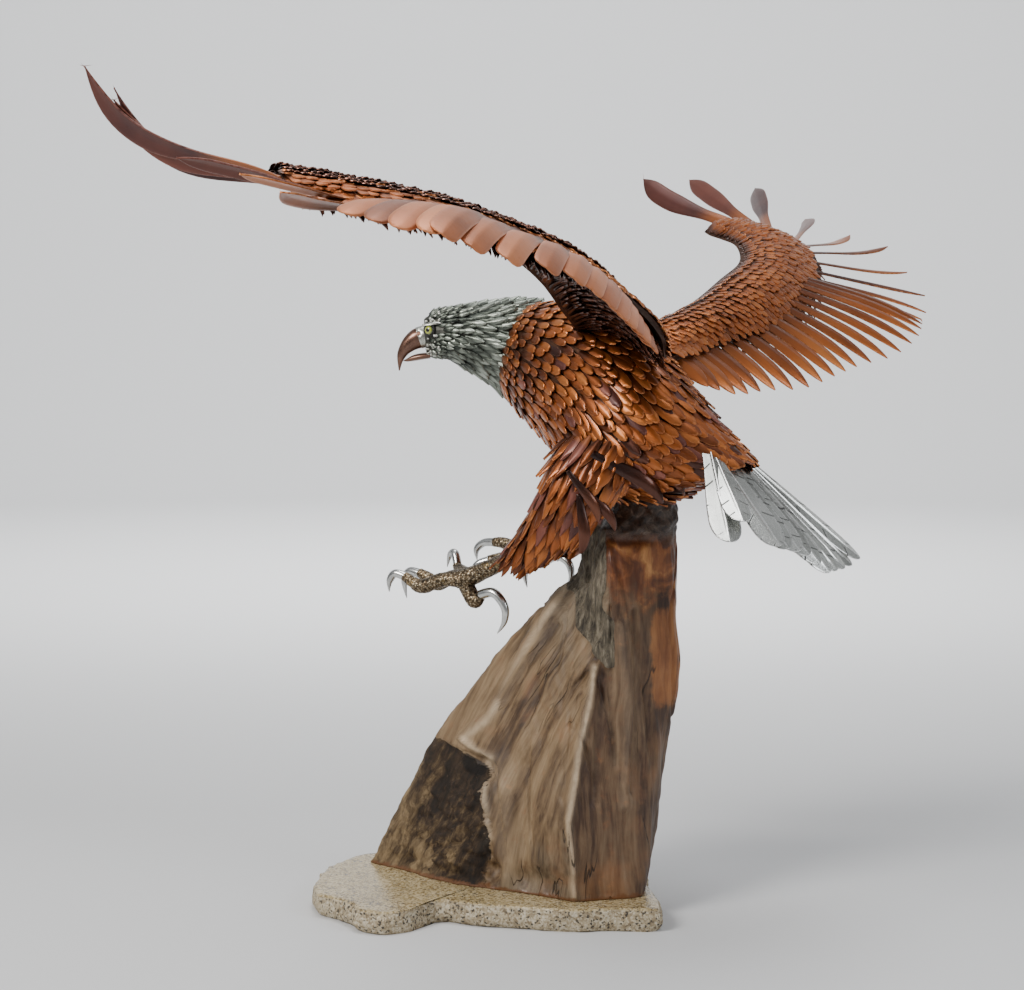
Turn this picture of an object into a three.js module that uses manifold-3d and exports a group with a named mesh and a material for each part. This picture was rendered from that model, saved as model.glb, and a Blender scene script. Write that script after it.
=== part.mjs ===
import * as THREE from 'three';
import Module from 'manifold-3d';

const wasm = await Module();
wasm.setup();

// Sizes in millimetres. The bird's pose and proportions are shares of wingLength.
const wingLength = 1000;      // shoulder to wing tip
const plateThickness = 3;     // steel plate of the long feathers
const rowLift = 4;            // how far a row of small feathers stands proud of the next
const stumpHeight = 620;      // driftwood, from the slab to its highest point
const stumpLength = 430;      // driftwood foot along X
const stumpDepth = 268;       // driftwood foot along Y
const slabLength = 525;
const slabDepth = 356;
const slabThickness = 35;
const gap = 0.3;              // clearance between neighbouring pieces

const share = wingLength / 1000;
const seatShare = 655;        // level of the seat in the bird's own shares

const copper = { color: 0xa5582f, roughness: 0.36, metalness: 0.85 };
const darkCopper = { color: 0x5e3128, roughness: 0.32, metalness: 0.85 };
const steel = { color: 0xb4b8b6, roughness: 0.3, metalness: 1.0 };
const headSteel = { color: 0x8b9088, roughness: 0.4, metalness: 0.95 };
const bronze = { color: 0x7c6b4c, roughness: 0.45, metalness: 0.95 };
const horn = { color: 0x7a5a4a, roughness: 0.35, metalness: 0.6 };
const eyeGlass = { color: 0xb8c026, roughness: 0.1, metalness: 0.0 };
const wood = { color: 0x8a6a4a, roughness: 0.7, metalness: 0.0 };
const granite = { color: 0xb8aa86, roughness: 0.6, metalness: 0.0 };

// A point given in the bird's shares: forward, left, height.
function at(x, y, z) {
  return new THREE.Vector3(x * share, y * share, (z - seatShare) * share);
}

function mix(a, b, t) {
  return a + (b - a) * t;
}

// Smooth reading of a table of numbers: each row is one station, t runs from 0 to 1.
function reader(rows) {
  const last = rows.length - 1;
  return (t) => {
    const s = Math.min(Math.max(t, 0), 1) * last;
    const i = Math.min(Math.floor(s), last - 1);
    const f = s - i;
    const p = [rows[Math.max(i - 1, 0)], rows[i], rows[i + 1], rows[Math.min(i + 2, last)]];
    return rows[0].map((_, k) => {
      const [a, b, c, d] = p.map((row) => row[k]);
      const m = (c - a) / 2;
      const n = (d - b) / 2;
      const g = f * f * (3 - 2 * f);
      return b + (c - b) * g + m * f * (1 - f) * (1 - f) - n * f * f * (1 - f);
    });
  };
}

function solidFrom(positions, triangles) {
  const make = (tri) => new wasm.Manifold(new wasm.Mesh({
    numProp: 3,
    vertProperties: new Float32Array(positions),
    triVerts: new Uint32Array(tri),
  }));
  const made = make(triangles);
  if (made.volume() > 0) {
    return made;
  }
  const turned = [];
  for (let i = 0; i < triangles.length; i += 3) {
    turned.push(triangles[i], triangles[i + 2], triangles[i + 1]);
  }
  return make(turned);
}

// A closed body through rings of points; both ends are closed by a fan.
function loft(rings) {
  const n = rings[0].length;
  const positions = [];
  const triangles = [];
  rings.forEach((ring) => ring.forEach((p) => positions.push(p.x, p.y, p.z)));
  for (let i = 0; i + 1 < rings.length; i += 1) {
    for (let j = 0; j < n; j += 1) {
      const a = i * n + j;
      const b = i * n + (j + 1) % n;
      triangles.push(a, b, b + n, a, b + n, a + n);
    }
  }
  [0, rings.length - 1].forEach((i) => {
    const middle = new THREE.Vector3();
    rings[i].forEach((p) => middle.addScaledVector(p, 1 / n));
    const hub = positions.length / 3;
    positions.push(middle.x, middle.y, middle.z);
    for (let j = 0; j < n; j += 1) {
      const a = i * n + j;
      const b = i * n + (j + 1) % n;
      if (i === 0) {
        triangles.push(hub, b, a);
      } else {
        triangles.push(hub, a, b);
      }
    }
  });
  return solidFrom(positions, triangles);
}

// The largest piece of a solid, so that no loose crumb is left by a cut.
function largest(solid) {
  const parts = solid.decompose();
  return parts.reduce((best, p) => (p.volume() > best.volume() ? p : best), parts[0]);
}

function cut(solid, ...tools) {
  return largest(tools.reduce((left, tool) => left.subtract(tool), solid));
}

function join(solids) {
  return solids.reduce((sum, one) => sum.add(one));
}

// Trims a row of overlapping plates: each one gives way to those before it by the clearance.
function trimmed(makers, tools) {
  const done = [...tools];
  return makers.map((make) => {
    const solid = cut(make(0), ...done);
    done.push(make(gap));
    return solid;
  });
}

function boxSolid(sizeX, sizeY, sizeZ, place) {
  const geometry = new THREE.BoxGeometry(sizeX, sizeY, sizeZ);
  geometry.translate(place.x, place.y, place.z);
  return geometrySolid(geometry);
}

// Joins equal corners of a three.js shape and makes a solid of it.
function geometrySolid(geometry) {
  const source = geometry.getAttribute('position');
  const seen = new Map();
  const positions = [];
  const order = [];
  for (let i = 0; i < source.count; i += 1) {
    const p = [source.getX(i), source.getY(i), source.getZ(i)];
    const key = p.map((v) => Math.round(v * 1e4)).join(',');
    if (!seen.has(key)) {
      seen.set(key, positions.length / 3);
      positions.push(...p);
    }
    order.push(seen.get(key));
  }
  const index = geometry.index ? Array.from(geometry.index.array) : order.map((_, i) => i);
  const triangles = [];
  for (let i = 0; i < index.length; i += 3) {
    const t = [order[index[i]], order[index[i + 1]], order[index[i + 2]]];
    if (t[0] !== t[1] && t[1] !== t[2] && t[0] !== t[2]) {
      triangles.push(...t);
    }
  }
  return solidFrom(positions, triangles);
}

// A round bar along a row of stations [x, y, z, radius], in the bird's shares.
function bar(stations, sides, steps, grow = 0) {
  const read = reader(stations);
  const rings = [];
  const spot = (t) => {
    const [x, y, z] = read(t);
    return at(x, y, z);
  };
  let side = null;
  for (let i = 0; i <= steps; i += 1) {
    const t = i / steps;
    const along = spot(Math.min(t + 0.02, 1)).sub(spot(Math.max(t - 0.02, 0))).normalize();
    if (side === null) {
      side = new THREE.Vector3(0.31, 0.93, 0.2).cross(along).normalize();
    }
    side.addScaledVector(along, -side.dot(along)).normalize();
    const lift = new THREE.Vector3().crossVectors(along, side);
    const radius = read(t)[3] * share + grow;
    const middle = spot(t);
    const ring = [];
    for (let j = 0; j < sides; j += 1) {
      const a = (j / sides) * Math.PI * 2;
      ring.push(middle.clone()
        .addScaledVector(side, Math.cos(a) * radius)
        .addScaledVector(lift, Math.sin(a) * radius));
    }
    rings.push(ring);
  }
  return loft(rings);
}

// One long feather: a plate with a mid rib. shape rows are [place along, share of width].
function feather(root, tip, up, width, shape, options = {}) {
  const { bow = 0, rib = 0.8, thick = plateThickness, drop = 0, sway = 0, grow = 0 } = options;
  const along = tip.clone().sub(root);
  const length = along.length();
  along.normalize();
  const side = new THREE.Vector3().crossVectors(along, up).normalize();
  const lift = new THREE.Vector3().crossVectors(side, along);
  const rings = shape.map(([t, w]) => {
    const arc = 6.75 * t * t * (1 - t); // greatest, 1, at two thirds of the length
    const middle = root.clone()
      .addScaledVector(along, length * t)
      .addScaledVector(lift, length * bow * arc - drop)
      .addScaledVector(side, length * sway * arc);
    const half = (width * w) / 2 + grow;
    const deep = thick / 2 + grow;
    const reach = t === 1 ? grow : 0;
    const point = (s, h) => middle.clone().addScaledVector(side, s).addScaledVector(lift, h)
      .addScaledVector(along, reach);
    const ring = [point(half, deep), point(-half, deep), point(-half, -deep), point(half, -deep)];
    if (rib > 0) {
      ring.splice(1, 0, point(0, deep + rib));
    }
    return ring;
  });
  return loft(rings);
}

// A body covered with rows of small feathers. frame(t) gives a ring by angle, t from 0 to 1.
function shingled(frame, rows, sides, lift, from = 0, to = 1) {
  const rings = [];
  for (let row = 0; row < rows; row += 1) {
    const start = mix(from, to, row / rows);
    const step = (to - from) / rows;
    const base = [];
    const lip = [];
    for (let j = 0; j < sides; j += 1) {
      const tip = (j + row) % 2 === 0;
      const angle = (j / sides) * Math.PI * 2;
      base.push(frame(start + step * 0.03, angle, 0));
      lip.push(frame(start + step * (tip ? 1.0 : 0.62), angle, tip ? lift : lift * 0.45));
    }
    rings.push(base, lip);
  }
  rings.push(Array.from({ length: sides }, (_, j) => frame(to, (j / sides) * Math.PI * 2, -lift)));
  return loft(rings);
}

function smooth(frame, steps, sides, grow, from = 0, to = 1) {
  const rings = [];
  for (let i = 0; i <= steps; i += 1) {
    const t = mix(from, to, i / steps);
    rings.push(Array.from({ length: sides }, (_, j) => frame(t, (j / sides) * Math.PI * 2, grow)));
  }
  return loft(rings);
}

// Ring between an upper and a lower outline point, widened to both sides.
function ovalRing(top, bottom, across, halfWidth, angle, grow) {
  const middle = top.clone().add(bottom).multiplyScalar(0.5);
  const rise = top.clone().sub(bottom).multiplyScalar(0.5);
  const height = rise.length() + grow;
  rise.normalize();
  return middle
    .addScaledVector(rise, Math.cos(angle) * height)
    .addScaledVector(across, Math.sin(angle) * (halfWidth + grow));
}

// Trunk, from the end of the grey head plumage to the rump: upper x y z, lower x y z, half width.
const trunkTable = reader([
  [168, -20, 938, 202, -6, 797, 52],
  [112, -8, 937, 164, 0, 764, 70],
  [50, 0, 928, 126, 0, 733, 86],
  [-8, 0, 904, 88, 0, 700, 100],
  [-56, 0, 868, 50, 0, 668, 108],
  [-96, 0, 827, 4, 0, 648, 104],
  [-129, 0, 790, -50, 0, 643, 92],
  [-160, 0, 757, -100, 0, 654, 76],
  [-186, 0, 730, -142, 0, 670, 60],
  [-204, 0, 708, -176, 0, 684, 46],
]);
function trunkFrame(t, angle, grow) {
  const r = trunkTable(t);
  return ovalRing(at(r[0], r[1], r[2]), at(r[3], r[4], r[5]),
    new THREE.Vector3(0, 1, 0), r[6] * share, angle, grow);
}

// Head frame: turned towards the left by the same angle as the whole bird is turned away.
const headTurn = THREE.MathUtils.degToRad(30);
const headForward = new THREE.Vector3(Math.cos(headTurn), Math.sin(headTurn), 0);
const headLeft = new THREE.Vector3(-Math.sin(headTurn), Math.cos(headTurn), 0);
function atHead(f, w, h) {
  return at(245, 20, 888 + h)
    .addScaledVector(headForward, f * share)
    .addScaledVector(headLeft, w * share);
}
const headTable = reader([
  [-81, 52, -49, -91, 53],
  [-46, 52, -30, -78, 47],
  [-14, 49, -10, -64, 42],
  [14, 46, 18, -49, 38],
  [42, 43, 42, -37, 34],
  [64, 38, 62, -35, 27],
  [80, 27, 76, -33, 17],
]);
function headFrame(t, angle, grow) {
  const r = headTable(t);
  const top = atHead(r[0], 0, r[1]);
  return ovalRing(top, atHead(r[2], 0, r[3]), headLeft, r[4] * share, angle, grow);
}

// Small feathers of the head lie the other way round the table, from the beak to the neck.
function headBack(t, angle, grow) {
  return headFrame(1 - t, angle, grow);
}

const trunk = shingled(trunkFrame, 12, 20, rowLift, 0.004, 1);
const trunkHull = smooth(trunkFrame, 12, 20, rowLift + gap * 3, 0, 1);
// The cutting body reaches past both ends of the trunk by the clearance.
function pushed(frame, t, away, sides) {
  const ring = Array.from({ length: sides }, (_, j) => frame(t, (j / sides) * Math.PI * 2, gap));
  const step = away.clone().setLength(gap * 2);
  return loft([ring, ring.map((p) => p.clone().add(step))]);
}
const neckward = at(60, 10, seatShare);
const tailward = at(-40, 0, seatShare - 20);
const trunkSides = 20;
const trunkTool = join([
  trunkHull,
  pushed(trunkFrame, 0, neckward, trunkSides),
  pushed(trunkFrame, 1, tailward, trunkSides),
]);
const headLift = rowLift * 0.5;
const headBare = shingled(headBack, 7, 14, headLift, 0, 1);
const headSolid = cut(headBare, trunkTool);
const headTool = smooth(headFrame, 7, 14, headLift + gap, 0, 1);

// Beak, cut from one lofted hook: outer f h, inner f h, half width.
function hook(rows, grow) {
  const read = reader(rows);
  return smooth((t, angle, g) => {
    const r = read(t);
    const outer = atHead(r[0], 0, r[1]);
    return ovalRing(outer, atHead(r[2], 0, r[3]), headLeft, r[4] * share, angle, g);
  }, 6, 8, grow);
}
const upperRows = [
  [74, 16, 70, -17, 15],
  [88, 13, 78, -19, 14],
  [100, 8, 90, -22, 12.5],
  [111, -3, 99, -26, 10],
  [119, -17, 107, -32, 7.5],
  [123, -33, 114, -42, 4.5],
  [120.5, -56, 118.5, -56, 0.8],
];
const lowerRows = [
  [70, -27, 70, -37, 13],
  [84, -28, 84, -39, 11],
  [97, -31, 97, -41, 8],
  [108, -37, 107, -42, 4],
  [113, -40, 112.5, -41, 1],
];
const beakBlank = hook(upperRows, 0);
// The cere is the part of the beak behind its front plane and above the gape.
const cereFront = 96;
const cereBlock = { length: 60, width: 80, height: 60 };
const cereLimit = (extra) => {
  const { length, width, height } = cereBlock;
  const size = [length + extra, width, height].map((side) => side * share);
  const block = boxSolid(...size, new THREE.Vector3());
  const place = atHead(cereFront - length / 2 + extra / 2, 0, height / 2 - extra);
  return block.rotate([0, 0, 30]).translate([place.x, place.y, place.z]);
};
const cere = cut(hook(upperRows, 0.8).intersect(cereLimit(0)), headTool);
const upperBeak = cut(beakBlank, headTool, cereLimit(0.5));
const lowerBeak = cut(hook(lowerRows, 0), headTool, hook(upperRows, gap));

function eye(side) {
  const ball = new THREE.IcosahedronGeometry(9.5 * share, 1);
  const place = atHead(69, side * 20, 8);
  ball.translate(place.x, place.y, place.z);
  return cut(geometrySolid(ball), headTool, beakBlank);
}

// Wings: front edge x y z, end of the small feathers x y z, thickness; from shoulder to hand.
const wingTables = {
  left: reader([
    [45, 30, 884, -100, 40, 850, 34],
    [22, 140, 925, -148, 150, 890, 32],
    [2, 240, 966, -166, 262, 930, 28],
    [-8, 345, 1000, -168, 380, 966, 25],
    [-4, 450, 1024, -152, 500, 994, 22],
    [30, 530, 1042, -128, 590, 1016, 20],
    [85, 580, 1058, -70, 655, 1038, 17],
    [135, 625, 1074, 0, 700, 1056, 14],
    [178, 672, 1092, 85, 735, 1078, 11],
  ]),
  right: reader([
    [18, 30, 878, -70, 30, 850, 32],
    [-4, 110, 906, -72, 160, 868, 30],
    [-6, 250, 940, -96, 325, 890, 27],
    [-2, 370, 980, -104, 440, 914, 25],
    [6, 465, 1010, -98, 532, 944, 22],
    [48, 545, 1040, -84, 606, 984, 20],
    [96, 590, 1054, -50, 662, 1028, 17],
    [128, 612, 1062, 8, 684, 1056, 14],
    [150, 632, 1070, 66, 694, 1076, 11],
  ]),
};
// Mirrors a place in a wing for the right side.
function wingPlace(side) {
  return (x, y, z) => at(x, side * y, z);
}
function wingRing(side, s, tipward, lift, grow) {
  const place = wingPlace(side);
  const wingTable = side > 0 ? wingTables.left : wingTables.right;
  const r = wingTable(s);
  const front = place(r[0], r[1], r[2]);
  const back = place(r[3], r[4], r[5]);
  const next = wingTable(Math.min(s + 0.02, 1));
  const last = wingTable(Math.max(s - 0.02, 0));
  const span = place(next[0] + next[3], next[1] + next[4], next[2] + next[5])
    .sub(place(last[0] + last[3], last[1] + last[4], last[2] + last[5]));
  const chord = back.clone().sub(front);
  const up = new THREE.Vector3().crossVectors(chord, span).normalize();
  if (up.z < 0) {
    up.negate();
  }
  const thick = r[6] * share;
  const camber = chord.length() * 0.16;
  const bend = (c) => Math.sin(Math.PI * Math.pow(c, 0.72)) * camber;
  const body = (c) => thick * Math.sqrt(Math.max(c * (1.25 - c), 0)) * 0.95;
  const stretch = grow / chord.length();
  const point = (c, h) => front.clone()
    .addScaledVector(chord, c * (1 + 2 * stretch) - stretch)
    .addScaledVector(up, h);
  const ring = [point(-0.02, 0)];
  const upper = 5;
  for (let k = 0; k < upper; k += 1) {
    const c0 = k / upper + 0.02;
    const c1 = (k + 1) / upper - (lift > 0 && tipward !== (k % 2 === 0) ? 0.05 : 0);
    ring.push(point(c0, bend(c0) + body(c0) / 2 + grow));
    ring.push(point(c1, bend(c1) + body(c1) / 2 + lift + grow));
  }
  const lower = 2;
  for (let k = lower - 1; k >= 0; k -= 1) {
    const c1 = (k + 1) / lower - (lift > 0 && tipward !== (k % 2 === 0) ? 0.06 : 0.01);
    const c0 = k / lower + 0.03;
    ring.push(point(c1, bend(c1) - body(c1) / 2 - lift - grow));
    ring.push(point(c0, bend(c0) - body(c0) / 2 - grow));
  }
  return ring;
}
function wingArm(side) {
  const steps = 13;
  const rings = [];
  for (let i = 0; i <= steps; i += 1) {
    rings.push(wingRing(side, i / steps, i % 2 === 0, rowLift * share, 0));
  }
  return loft(rings);
}
function wingTool(side) {
  const steps = 13;
  const rings = [];
  for (let i = 0; i <= steps; i += 1) {
    rings.push(wingRing(side, i / steps, false, 0, rowLift * share + gap * 6));
  }
  const end = rings[rings.length - 1];
  const before = rings[rings.length - 2];
  rings.push(end.map((p, k) => p.clone()
    .add(p.clone().sub(before[k]).setLength(gap))));
  return loft(rings);
}

// Long feathers. The hand carries ten separate ones; tips in shares, for the right wing.
const bladeShape = [[0, 0.7], [0.45, 0.95], [0.86, 0.9], [1, 0.25]];
const armShape = [[0, 0.7], [0.72, 1], [1, 0.35]];
const paddleShape = [[0, 0.6], [0.36, 0.58], [0.62, 0.95], [0.84, 0.92], [1, 0.3]];
// rows: tip x y z, width, bow, sway, turn of the blade's face towards the bird's middle,
// and where the root is welded on: share along the wing and share of its depth
const rightHand = [
  [333, 750, 1178, 38, 0.0, 0.05, 1, 0.985, 0.62],
  [284, 850, 1180, 34, 0.0, 0, 1, 0.95, 0.8],
  [181, 930, 1165, 34, 0.0, 0, 1, 0.93, 0.9],
  [76, 930, 1103, 28, 0.0, -0.04, 0.8, 0.83, 0.95],
  [-27, 900, 1070, 24, -0.03, 0, 0.4, 0.78, 0.9],
  [-113, 870, 1047, 20, -0.03, 0, 0, 0.73, 0.85],
  [-169, 820, 998, 19, -0.02, 0, 0, 0.68, 0.8],
  [-228, 750, 955, 19, 0.0, 0, 0, 0.63, 0.75],
  [-248, 700, 925, 19, 0.02, 0, 0, 0.585, 0.7],
  [-254, 660, 913, 20, 0.02, 0, 0, 0.54, 0.7],
];
const leftHand = [
  [350, 810, 1237, 30, 0.0, 0.17, 1, 0.985, 0.62],
  [328, 780, 1196, 30, 0.0, 0.15, 1, 0.94, 0.62],
  [322, 786, 1210, 24, 0.0, 0.19, 1, 0.895, 0.62],
  [150, 876, 1110, 24, 0.0, -0.01, 0.8, 0.85, 0.62],
  [50, 883, 1087, 24, 0.0, 0, 0.6, 0.805, 0.62],
  [-3, 876, 1065, 34, 0.0, 0.06, 1, 0.76, 0.7],
  [-100, 885, 1037, 28, 0.02, 0, 0.3, 0.715, 0.62],
  [-160, 917, 1026, 26, 0.02, 0, 0.1, 0.67, 0.62],
  [-200, 928, 1017, 25, 0.02, 0, 0, 0.625, 0.62],
  [-230, 917, 1013, 25, 0.02, 0, 0, 0.58, 0.62],
];
function handFeathers(side, tools) {
  const place = wingPlace(side);
  const rows = side > 0 ? leftHand : rightHand;
  const wingTable = side > 0 ? wingTables.left : wingTables.right;
  const makers = rows.map((row, i) => {
    const [x, y, z, width, bow, sway, turn, s, c] = row;
    const r = wingTable(s);
    const root = place(mix(r[0], r[3], c), mix(r[1], r[4], c), mix(r[2], r[5], c) + 4);
    const inward = -side * mix(0.35, 0.85, turn);
    const up = new THREE.Vector3(mix(-0.1, 0.1, turn), inward, mix(1, 0.5, turn));
    const shape = i < 6 ? paddleShape : bladeShape;
    return (grow) => feather(root, at(x, side * y, z), up, width * share, shape,
      { bow, sway: sway * side, rib: i < 3 ? 1 : 0, grow });
  });
  return trimmed(makers, tools);
}

// Arm feathers are welded to the arm as one piece; tips run along the rear edge of the wing.
const armTips = {
  right: reader([
    [-262, 640, 905], [-272, 590, 882], [-255, 525, 852], [-220, 455, 836],
    [-205, 380, 820], [-182, 310, 802], [-150, 230, 800], [-136, 150, 796],
    [-112, 88, 810],
  ]),
  left: reader([
    [-245, 906, 1010], [-254, 800, 988], [-260, 660, 972], [-248, 550, 950],
    [-240, 470, 924], [-226, 400, 906], [-200, 310, 888], [-160, 207, 874],
  ]),
};
// Share along the wing where each of them is welded on, and the share of the wing's depth.
const armRoots = {
  right: { along: reader([[0.54], [0.3], [0.06]]), depth: 0.6 },
  left: {
    along: reader([[0.56], [0.49], [0.415], [0.34], [0.275], [0.2], [0.145], [0.12], [0.095],
      [0.07]]),
    depth: 0.5,
  },
};
function armFeathers(side, grow) {
  const place = wingPlace(side);
  const tips = side > 0 ? armTips.left : armTips.right;
  const roots = side > 0 ? armRoots.left : armRoots.right;
  const count = 11;
  const blades = [];
  for (let i = 0; i < count; i += 1) {
    const [s] = roots.along(i / (count - 1));
    const r = (side > 0 ? wingTables.left : wingTables.right)(s);
    const c = (k) => mix(r[k], r[k + 3], roots.depth);
    const root = place(c(0), c(1), c(2) + 5);
    const [x, y, z] = tips(i / (count - 1));
    const up = new THREE.Vector3(-0.25, -0.3 * side, 1);
    blades.push(feather(root, at(x, side * y, z), up, 52 * share, armShape,
      { bow: 0.03, rib: 0, grow }));
  }
  return blades;
}

// Tail: tips from the left outer feather to the right one, and width; each lies under the last.
const tailRows = [
  [-263, 170, 592, 48],
  [-270, 138, 620, 42],
  [-301, 76, 584, 46],
  [-304, 49, 579, 46],
  [-311, 21, 575, 46],
  [-316, -6, 568, 46],
  [-324, -34, 554, 46],
  [-331, -61, 540, 46],
  [-334, -89, 542, 46],
  [-337, -117, 544, 46],
  [-340, -144, 548, 44],
  [-344, -172, 558, 42],
];
const tailShape = [[0, 0.55], [0.4, 0.82], [0.88, 0.95], [1, 0.4]];
// The fan is crowned: its left feathers face outwards, the others upwards.
const tailCrown = 0.75;
const tailFeathers = () => trimmed(tailRows.map((row, i) => {
  const across = i / (tailRows.length - 1);
  const root = at(-174, mix(46, -46, across), mix(712, 738, across));
  const tip = at(row[0], row[1], row[2]);
  const up = new THREE.Vector3(-0.72, tailCrown * (1 - 2 * across) ** 3, 0.68);
  return (grow) => feather(root, tip, up, row[3] * share, tailShape,
    { rib: 0.5, thick: 2, drop: i * 2.6 - 12, grow });
}), [trunkTool]);

// Thigh plumage: front x z, rear x z, y, half width; from hip to ankle.
function thighFrame(side) {
  const read = reader(side > 0 ? [
    [30, 760, -90, 738, 62, 48],
    [56, 716, -68, 690, 80, 47],
    [74, 668, -34, 644, 90, 40],
    [96, 622, 4, 602, 92, 31],
    [128, 578, 60, 562, 92, 22],
    [150, 552, 110, 530, 91, 14],
  ] : [
    [30, 760, -90, 738, 62, 48],
    [60, 716, -68, 690, 80, 47],
    [86, 668, -30, 642, 88, 41],
    [120, 620, 18, 596, 90, 33],
    [160, 582, 84, 556, 90, 24],
    [186, 562, 142, 536, 90, 15],
  ]);
  return (t, angle, grow) => {
    const r = read(t);
    return ovalRing(at(r[0], side * r[4], r[1]), at(r[2], side * r[4], r[3]),
      new THREE.Vector3(0, 1, 0), r[5] * share, angle, grow);
  };
}

// Feet as rows of round bars, and claws as tapering hooks; stations x y z radius.
const feet = {
  left: {
    bars: [
      [[112, 90, 566, 12], [150, 90, 541, 12], [190, 90, 522, 13], [220, 90, 510, 15],
        [236, 90, 507, 13]],
      [[218, 94, 509, 13], [256, 100, 506, 11], [290, 104, 494, 11], [308, 106, 500, 9],
        [324, 108, 510, 7]],
      [[218, 84, 509, 13], [252, 78, 508, 11], [280, 76, 496, 11], [300, 74, 504, 9],
        [318, 74, 512, 7]],
      [[216, 84, 512, 11], [240, 60, 514, 10], [262, 42, 518, 8], [268, 38, 524, 7]],
      [[222, 90, 506, 13], [214, 90, 490, 12], [203, 90, 476, 12], [194, 90, 484, 9]],
    ],
    claws: [
      [[324, 108, 511, 6.5], [338, 110, 512, 5.5], [348, 111, 500, 4.5], [349, 111, 482, 1]],
      [[318, 74, 513, 6.5], [334, 74, 512, 5.5], [344, 74, 496, 4.5], [340, 74, 468, 1]],
      [[269, 37, 526, 6], [276, 31, 540, 5.5], [288, 26, 536, 4], [294, 25, 516, 1]],
      [[192, 90, 486, 7], [170, 90, 490, 6.5], [150, 90, 470, 5.5], [150, 90, 446, 4],
        [163, 90, 426, 1]],
    ],
  },
  right: {
    bars: [
      [[150, -90, 560, 12], [182, -90, 545, 12], [210, -90, 532, 14], [224, -90, 530, 13]],
      [[212, -94, 531, 12], [240, -96, 540, 10], [262, -97, 546, 9], [280, -97, 546, 7]],
      [[208, -100, 530, 12], [222, -116, 522, 9], [230, -124, 512, 7]],
      [[214, -84, 528, 11], [244, -66, 524, 10], [266, -56, 520, 8]],
      [[204, -88, 530, 12], [184, -86, 520, 10], [170, -84, 524, 8]],
    ],
    claws: [
      [[281, -97, 546, 6.5], [298, -97, 544, 5.5], [312, -97, 532, 4.5], [311, -97, 514, 1]],
      [[231, -125, 510, 6], [236, -127, 500, 5], [237, -128, 486, 3.5], [233, -128, 470, 1]],
      [[267, -55, 520, 6], [282, -50, 514, 5], [288, -48, 500, 4], [282, -48, 486, 1]],
      [[168, -84, 525, 7], [150, -82, 532, 6.5], [130, -81, 522, 5.5], [124, -80, 502, 4],
        [132, -80, 482, 1]],
    ],
  },
};
function footSolid(name, tool) {
  const grow = (extra) => join(feet[name].bars.map((rows) => bar(rows, 5, 3, extra)));
  return { solid: cut(grow(0), tool), hull: grow(gap) };
}

// Driftwood: outline corners of the foot and of the top, as shares of the foot's size.
const woodFoot = [
  [-0.45, 0.89], [-0.33, 0.70], [-0.14, 0.384], [0.114, 0.186], [0.24, 0.06], [0.307, 0.0],
  [0.40, 0.03], [0.54, 0.104], [0.56, 0.36], [0.535, 0.63], [0.35, 0.89], [0.047, 1.0],
  [-0.23, 1.02], [-0.395, 0.97],
];
const woodTop = [
  [0.442, 0.47], [0.446, 0.41], [0.456, 0.36], [0.475, 0.325], [0.50, 0.30], [0.52, 0.29],
  [0.555, 0.295], [0.62, 0.32], [0.66, 0.40], [0.66, 0.48], [0.62, 0.55], [0.56, 0.585],
  [0.51, 0.58], [0.455, 0.53],
];
// Which edge each corner follows as the wood rises: share of left edge and of front ridge.
const woodFollow = [
  [1, 0], [1, 0], [1, 0], [0.5, 0.5], [0.1, 0.9], [0, 1], [0, 1], [0, 0.2], [0, 0], [0, 0],
  [0.4, 0], [1, 0], [1, 0], [1, 0],
];
// How far each edge has moved from foot to top, by height: left edge, front ridge, right side.
const woodRise = reader([
  [0, 0, 0], [0.085, 0.03, 0.38], [0.175, 0.14, 0.63], [0.27, 0.28, 0.76],
  [0.395, 0.42, 1.05], [0.53, 0.53, 1.25], [0.68, 0.65, 1.12], [0.865, 0.77, 1.18],
  [0.92, 0.89, 1.12], [1, 1, 1],
]);
function woodRing(level, count) {
  const rise = woodRise(level);
  const corners = woodFoot.map(([x, y], i) => {
    const [u, v] = woodTop[i];
    const [left, ridge] = woodFollow[i];
    const move = rise[0] * left + rise[1] * ridge + rise[2] * (1 - left - ridge);
    return [mix(x, u, move) * stumpLength, (mix(y, v, Math.min(move, 1)) - 0.44) * stumpDepth];
  });
  const curve = new THREE.CatmullRomCurve3(
    corners.map(([x, y]) => new THREE.Vector3(x, y, 0)), true, 'centripetal');
  const z = slabThickness + gap + level * (stumpHeight - gap);
  const middle = new THREE.Vector3();
  corners.forEach(([x, y]) => middle.add(new THREE.Vector3(x, y, 0)));
  middle.multiplyScalar(1 / corners.length);
  return Array.from({ length: count }, (_, j) => {
    const p = curve.getPoint(j / count);
    const grain = 1 + 0.022 * Math.sin(j * 2.3 + level * 4) + 0.014 * Math.sin(j * 4.1 - level * 7);
    p.sub(middle).multiplyScalar(grain).add(middle);
    const rot = Math.exp(-Math.pow((p.x + 0.07 * stumpLength) / (0.075 * stumpLength), 2)
      - Math.pow((level - 0.22) / 0.09, 2));
    if (p.y < middle.y) {
      p.y += rot * stumpDepth * 0.1;
    }
    p.z = z;
    return p;
  });
}
function stump(tools) {
  const rings = [];
  const steps = 12;
  for (let i = 0; i <= steps; i += 1) {
    rings.push(woodRing(i / steps, 26));
  }
  return cut(loft(rings), ...tools);
}

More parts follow.
